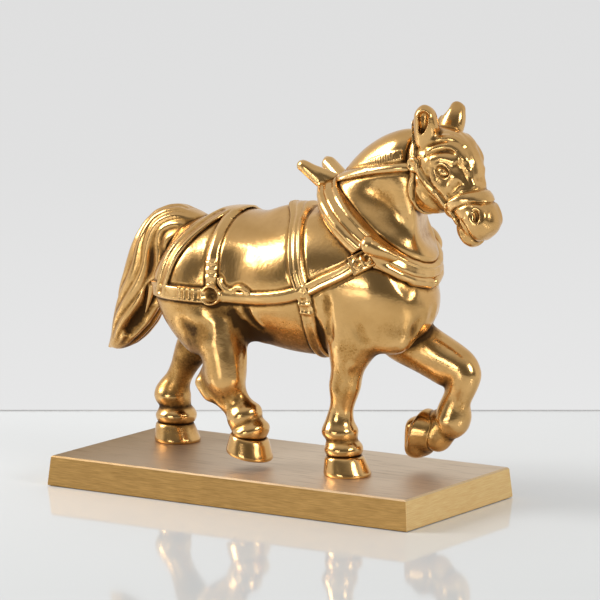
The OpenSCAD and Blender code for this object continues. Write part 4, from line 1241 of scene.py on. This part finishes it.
def bronze(name, light, deep, patina_shade_colour, shine):
    made, tree, shader = new_material(name)
    # The attribute: patina in the hollows plus painted shade.
    patina_shade_attr = add(tree, "ShaderNodeAttribute", attribute_name="hollow").outputs["Fac"]
    cloud = noise(tree, 55.0, 5.0)
    speck = noise(tree, 900.0, 3.0)
    colour = mix_colour(tree, rise_between(tree, cloud, 0.35, 0.68), light, deep)
    mottle = uneven(tree, speck, 0.45)
    blotch = uneven(tree, noise(tree, 230.0, 4.0), 0.5)
    patina_shade_mottled = math_node(tree, "ADD", patina_shade_attr, math_node(tree, "ADD", mottle, blotch))
    # Orange-brown, then dark brown: patina, and painted shade where the attribute carries it.
    amber_patina_shade = rise_between(tree, patina_shade_mottled, 0.06, 0.36)
    brown_patina_shade = rise_between(tree, patina_shade_mottled, 0.26, 0.72)
    colour = mix_colour(tree, amber_patina_shade, colour, AMBER_PATINA_SHADE)
    colour = mix_colour(tree, brown_patina_shade, colour, patina_shade_colour)
    tree.links.new(colour, shader.inputs["Base Color"])
    shader.inputs["Metallic"].default_value = 1.0
    rough = math_node(tree, "MULTIPLY_ADD", cloud, 0.16, shine)
    rough = math_node(tree, "ADD", rough, math_node(tree, "MULTIPLY", brown_patina_shade, 0.3))
    rough = math_node(tree, "ADD", rough, math_node(tree, "MULTIPLY", amber_patina_shade, 0.13))
    tree.links.new(rough, shader.inputs["Roughness"])
    uneven_skin = add(tree, "ShaderNodeBump", Strength=0.17, Distance=0.0004)
    wobble = math_node(tree, "ADD", noise(tree, 170.0, 3.0), noise(tree, 420.0, 3.0))
    pits = math_node(tree, "ADD", wobble, math_node(tree, "MULTIPLY", speck, 0.35))
    tree.links.new(pits, uneven_skin.inputs["Height"])
    tree.links.new(uneven_skin.outputs["Normal"], shader.inputs["Normal"])
    return made


cast_bronze = bronze("cast bronze", (0.80, 0.485, 0.19), (0.65, 0.375, 0.13), BROWN_PATINA_SHADE, 0.11)
strap_bronze = bronze("harness bronze", (0.83, 0.52, 0.215), (0.71, 0.425, 0.155), BROWN_PATINA_SHADE, 0.13)
for made in pieces:
    made.data.materials.append(cast_bronze if made["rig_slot"] == "cast_bronze" else strap_bronze)
print("finishes:", cast_bronze.name, "and", strap_bronze.name)

# %% [markdown]
# ## Brushed base
# The base is the same metal, but brushed: fine straight scratches, along the sides and across the ends.
# Anisotropic shading could give the sheen, but not the scratches themselves.
# So noise is stretched until it is hair-thin, and drives the colour, the roughness and a slight bump.
# The top is browner, with rubbed patches and scuffs, and is painted lighter towards the front of the horse, as
# more light falls there.
# It is seen at a low angle, where a metal shows its Specular Tint more than its base colour.

# %% Grain of the base
brushed, tree, shader = new_material("brushed base")
facing_parts = xyz(tree, tree.nodes.new("ShaderNodeNewGeometry").outputs["Normal"])
upward = rise_between(tree, facing_parts["Z"], 0.55, 0.95)
endward = rise_between(tree, math_node(tree, "ABSOLUTE", facing_parts["X"]), 0.6, 0.8)
long_grain = noise(tree, 1.0, 6.0, 0.62, stretch=(110, 2000, 2000))
cross_grain = noise(tree, 1.0, 6.0, 0.62, stretch=(2000, 110, 2000))
grain = mix_colour(tree, endward, long_grain, cross_grain)
streaks = rise_between(tree, grain, 0.25, 0.75)
shader.inputs["Metallic"].default_value = 1.0
rough = math_node(tree, "MULTIPLY_ADD", grain, 0.25, 0.34)
tree.links.new(rough, shader.inputs["Roughness"])
scratch = add(tree, "ShaderNodeBump", Strength=0.25, Distance=0.0003)
tree.links.new(grain, scratch.inputs["Height"])
tree.links.new(scratch.outputs["Normal"], shader.inputs["Normal"])
print("grain on:", brushed.name)

# %% Colours of the base
# Painted light on the walls: the long sides darker, the ends lighter where light falls on them.
painted_walls = mix_colour(tree, streaks, (0.36, 0.205, 0.066), (0.65, 0.395, 0.137))
lit_ends = mix_colour(tree, streaks, (0.83, 0.51, 0.205), (0.98, 0.76, 0.37))
painted_walls = mix_colour(tree, endward, painted_walls, lit_ends)
top = mix_colour(tree, streaks, (0.20, 0.12, 0.055), (0.54, 0.375, 0.205))
patches = rise_between(tree, noise(tree, 1.0, 3.0, 0.5, stretch=(9, 75, 60)), 0.38, 0.64)
top = mix_colour(tree, patches, top, (0.40, 0.265, 0.14))
# Painted light: the top grows lighter towards the front of the horse.
forward = math_node(tree, "MULTIPLY_ADD", xyz(tree, object_place(tree))["X"], 4.0, 0.5)
painted_light_front = rise_between(tree, forward, 0.0, 0.5, 0.8)
top = mix_colour(tree, painted_light_front, top, (0.90, 0.76, 0.60))
scuffs = rise_between(tree, noise(tree, 1.0, 5.0, 0.65, stretch=(40, 520, 520)), 0.52, 0.78, 0.42)
top = mix_colour(tree, scuffs, top, (0.19, 0.11, 0.05))
tree.links.new(mix_colour(tree, upward, painted_walls, top), shader.inputs["Base Color"])
grazing = mix_colour(tree, streaks, (0.66, 0.55, 0.45), (0.95, 0.86, 0.76))
# Painted light on the sheen as well, towards the front.
grazing = mix_colour(tree, painted_light_front, grazing, (1.0, 0.97, 0.93))
grazing = mix_colour(tree, scuffs, grazing, (0.55, 0.43, 0.32))
tree.links.new(grazing, shader.inputs["Specular Tint"])
print("nodes in the brushed base:", len(tree.nodes))

# %% [markdown]
# ## Base, felt, screws and pins
# These pieces are plain turned, cut or cast shapes, so copies of the CAD pieces serve as they are.
# The base gets a narrow bevel, because no real edge is sharp and the bevel catches the light.
# The tail's pin is shown a little smaller, since the modelled tail is slimmer there than the plain one.

# %% Felt, steel and pin brass
felt, tree, shader = new_material("felt")
fuzz = noise(tree, 1400.0, 5.0, 0.7)
green = ramp(tree, fuzz, [(0.3, (0.012, 0.02, 0.014)), (0.7, (0.05, 0.075, 0.055))])
tree.links.new(green, shader.inputs["Base Color"])
shader.inputs["Roughness"].default_value = 0.95
steel, tree, shader = new_material("steel")
turned_marks = noise(tree, 500.0, 3.0)
silver = ramp(tree, turned_marks, [(0.3, (0.42, 0.43, 0.45)), (0.7, (0.6, 0.61, 0.63))])
tree.links.new(silver, shader.inputs["Base Color"])
shader.inputs["Metallic"].default_value = 1.0
shader.inputs["Roughness"].default_value = 0.3
pin_brass = bronze("pin brass", (0.72, 0.5, 0.22), (0.6, 0.4, 0.16), (0.25, 0.14, 0.05), 0.25)
print("finishes:", felt.name, steel.name, pin_brass.name)

# %% Show the plain pieces
BASE_BEVEL = 0.0007


def copy_node(names, slot, material, edge=0.0, scale=1.0):
    """Shows plain CAD pieces with a finish and, if asked, softened edges or a little smaller."""
    for name in names:
        made = nodes[name].copy()
        made.data = nodes[name].data.copy()
        made.name = "look_" + name
        for key in list(made.keys()):
            del made[key]
        made.parent = None
        if scale != 1.0:
            centre = sum((v.co for v in made.data.vertices), Vector()) / len(made.data.vertices)
            shrink = Matrix.Translation(centre) @ Matrix.Scale(scale, 4) @ Matrix.Translation(-centre)
            made.data.transform(shrink)
        bpy.context.scene.collection.objects.link(made)
        made.data.materials.clear()
        made.data.materials.append(material)
        if edge:
            soft = made.modifiers.new("soft edges", "BEVEL")
            soft.width = edge
            soft.segments = 3
            soft.limit_method = "ANGLE"
            soft.harden_normals = True
        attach(made, "root")
        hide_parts(name)
        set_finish(made, slot)
        print("plain piece:", made.name)


copy_node(["base_plate"], "brushed_base", brushed, BASE_BEVEL)
copy_node(["base_felt"], "felt", felt)
copy_node(["base_screws", "screw_washers"], "steel", steel)
copy_node(["core_plug", "leg_dowels", "hoof_dowels", "neck_dowels"], "pin_brass", pin_brass)
copy_node(["tail_dowel"], "pin_brass", pin_brass, scale=0.75)

# %% [markdown]
# ## The table
# The photograph is a plain studio one: the horse stands on a glossy white table before a pale wall.
# The table is a plane that is laid out as the camera sees it, so that its far edge is level in the picture.
# A low strip along that edge gives the fine grey line between table and wall.

# %% Ways of the camera
AZ, EL = math.radians(32.82), math.radians(8.87)
right_way = np.array([math.cos(AZ), math.sin(AZ), 0.0])
back_way = np.array([math.sin(AZ) * math.cos(EL), -math.cos(AZ) * math.cos(EL), math.sin(EL)])
up_way = np.cross(back_way, right_way)
level_back = np.array([math.sin(AZ), -math.cos(AZ), 0.0])


def along_way(tree, source, way):
    """How far a place or a direction reaches along a fixed way in the room."""
    node = add(tree, "ShaderNodeVectorMath", operation="DOT_PRODUCT")
    node.inputs[1].default_value = tuple(way)
    tree.links.new(source, node.inputs[0])
    return node.outputs["Value"]


print("the camera looks from", back_way.round(3))

# %% Table finishes
table_white, tree, shader = new_material("table")
depth = math_node(tree, "MULTIPLY_ADD", along_way(tree, object_place(tree), level_back), 1.5, 0.4)
# Painted light: the white is lighter towards the back of the table and darker towards the camera.
painted_falloff = ramp(tree, depth, [(0.1, (0.87, 0.885, 0.88)), (0.75, (0.73, 0.745, 0.74))])
cloudy = ramp(tree, noise(tree, 3.0, 2.0), [(0.3, (0.97, 0.97, 0.97)), (0.7, (1, 1, 1))])
tree.links.new(mix_colour(tree, 1.0, painted_falloff, cloudy, "MULTIPLY"), shader.inputs["Base Color"])
shader.inputs["Roughness"].default_value = 0.06
shader.inputs["IOR"].default_value = 1.3

edge_grey, tree, shader = new_material("table edge")
greys = ramp(tree, noise(tree, 40.0), [(0.3, (0.58, 0.58, 0.58)), (0.7, (0.66, 0.66, 0.66))])
tree.links.new(greys, shader.inputs["Base Color"])
shader.inputs["Roughness"].default_value = 0.6
print("finishes:", table_white.name, "and", edge_grey.name)

# %% Table
HALF_WIDE, FRONT, BACK = 1.2, 0.95, -0.2334
EDGE_HIGH = 0.0007


def on_table(side, toward):
    """A corner of the table, given across the picture and towards the camera, in metres."""
    p = right_way * side + level_back * toward
    return (p[0], p[1], 0.0)


def plane(name, corners, material):
    mesh = bpy.data.meshes.new(name)
    mesh.from_pydata(corners, [], [(0, 1, 2, 3)])
    made = bpy.data.objects.new(name, mesh)
    bpy.context.scene.collection.objects.link(made)
    mesh.materials.append(material)
    print("stage:", made.name)


left_end, right_end = on_table(-HALF_WIDE, BACK), on_table(HALF_WIDE, BACK)
plane("table", [on_table(-HALF_WIDE, FRONT), on_table(HALF_WIDE, FRONT), right_end, left_end], table_white)
plane("table edge", [left_end, right_end, (*right_end[:2], EDGE_HIGH), (*left_end[:2], EDGE_HIGH)], edge_grey)

# %% [markdown]
# ## Lights
# The highlights on the flanks are the reflections of large soft lights, so their shape and place matter.
# Area lamps show in a mirror as clean panels, which is what a softbox looks like in bronze.
# Each is placed by the angle at which the horse sees it.

# %% Soft panels
HORSE_MIDDLE = 0.11
PANEL_AWAY = 1.6


def panel(name, turn_from_camera, climb, width, height, radiance):
    """A soft panel seen from the horse at that angle from the camera, and that high."""
    a, c = math.radians(turn_from_camera), math.radians(climb)
    level = right_way * math.sin(a) * math.cos(c) + level_back * math.cos(a) * math.cos(c)
    way = level + np.array([0, 0, math.sin(c)])
    lamp = bpy.data.lights.new(name, "AREA")
    lamp.shape = "RECTANGLE"
    lamp.size, lamp.size_y = width, height
    lamp.energy = radiance * math.pi * width * height
    made = bpy.data.objects.new(name, lamp)
    bpy.context.scene.collection.objects.link(made)
    made.rotation_euler = Vector(-way).to_track_quat("-Z", "Y").to_euler()
    made.location = Vector(way * PANEL_AWAY) + Vector((0, 0, HORSE_MIDDLE))
    print("light:", made.name, round(lamp.energy, 1), "W")


panel("softbox left", -93.5, 29, 0.60, 0.74, 12)
panel("softbox front", -37, 4, 0.60, 0.26, 6)
panel("softbox right", 45, 22, 0.50, 0.45, 11)

# %% [markdown]
# ## The room
# A mirror needs something dark to reflect as well, or it looks like plaster.
# So the room is dim on the camera's side, pale behind the horse and overhead.
# The camera itself sees a plain wall, a little lighter towards the table.

# %% Room
world = bpy.data.worlds.new("room")
bpy.context.scene.world = world
world.use_nodes = True
tree = world.node_tree
way = tree.nodes.new("ShaderNodeTexCoord").outputs["Generated"]
climb = xyz(tree, way)["Z"]
room = ramp(tree, along_way(tree, way, level_back),
            [(0.10, (0.76, 0.76, 0.76)), (0.40, (0.14, 0.134, 0.122))])
room = mix_colour(tree, rise_between(tree, climb, 0.45, 0.85), room, (0.62, 0.62, 0.62))
height = math_node(tree, "MULTIPLY", math_node(tree, "ADD", climb, 0.18), 10.8)
wall = ramp(tree, height, [(0.0, (0.80, 0.80, 0.80)), (0.6, (0.75, 0.75, 0.75)), (1.0, (0.74, 0.74, 0.74))])
seen = tree.nodes.new("ShaderNodeLightPath").outputs["Is Camera Ray"]
tree.links.new(mix_colour(tree, seen, room, wall), tree.nodes["Background"].inputs["Color"])
print("room:", len(tree.nodes), "nodes")

# %% [markdown]
# ## Camera
# The camera was fitted to the corners of the base in the photograph.
# It stands more than two metres away with a long lens, so the lines of the base hardly converge.
# The numbers are its place across, up and back from the middle of the base, in mm,
# and its focal length in pixels.

# %% Camera
ACROSS, ABOVE, AWAY = 11.17, 99.53, 2285.0
FOCAL_PIXELS, PICTURE_PIXELS = 4395.0, 600.0
SENSOR = 36.0
lens = bpy.data.cameras.new("camera")
camera = bpy.data.objects.new("camera", lens)
bpy.context.scene.collection.objects.link(camera)
spot = (right_way * ACROSS + up_way * ABOVE + back_way * AWAY) / MM
camera.matrix_world = Matrix((
    (right_way[0], up_way[0], back_way[0], spot[0]),
    (right_way[1], up_way[1], back_way[1], spot[1]),
    (right_way[2], up_way[2], back_way[2], spot[2]),
    (0, 0, 0, 1)))
lens.sensor_width = SENSOR
lens.lens = FOCAL_PIXELS / PICTURE_PIXELS * SENSOR
lens.clip_end = 50.0
bpy.context.scene.camera = camera
bpy.context.scene.view_settings.view_transform = "Standard"
print("camera with a lens of", round(lens.lens, 1), "mm")

# %% [markdown]
# ## Finish
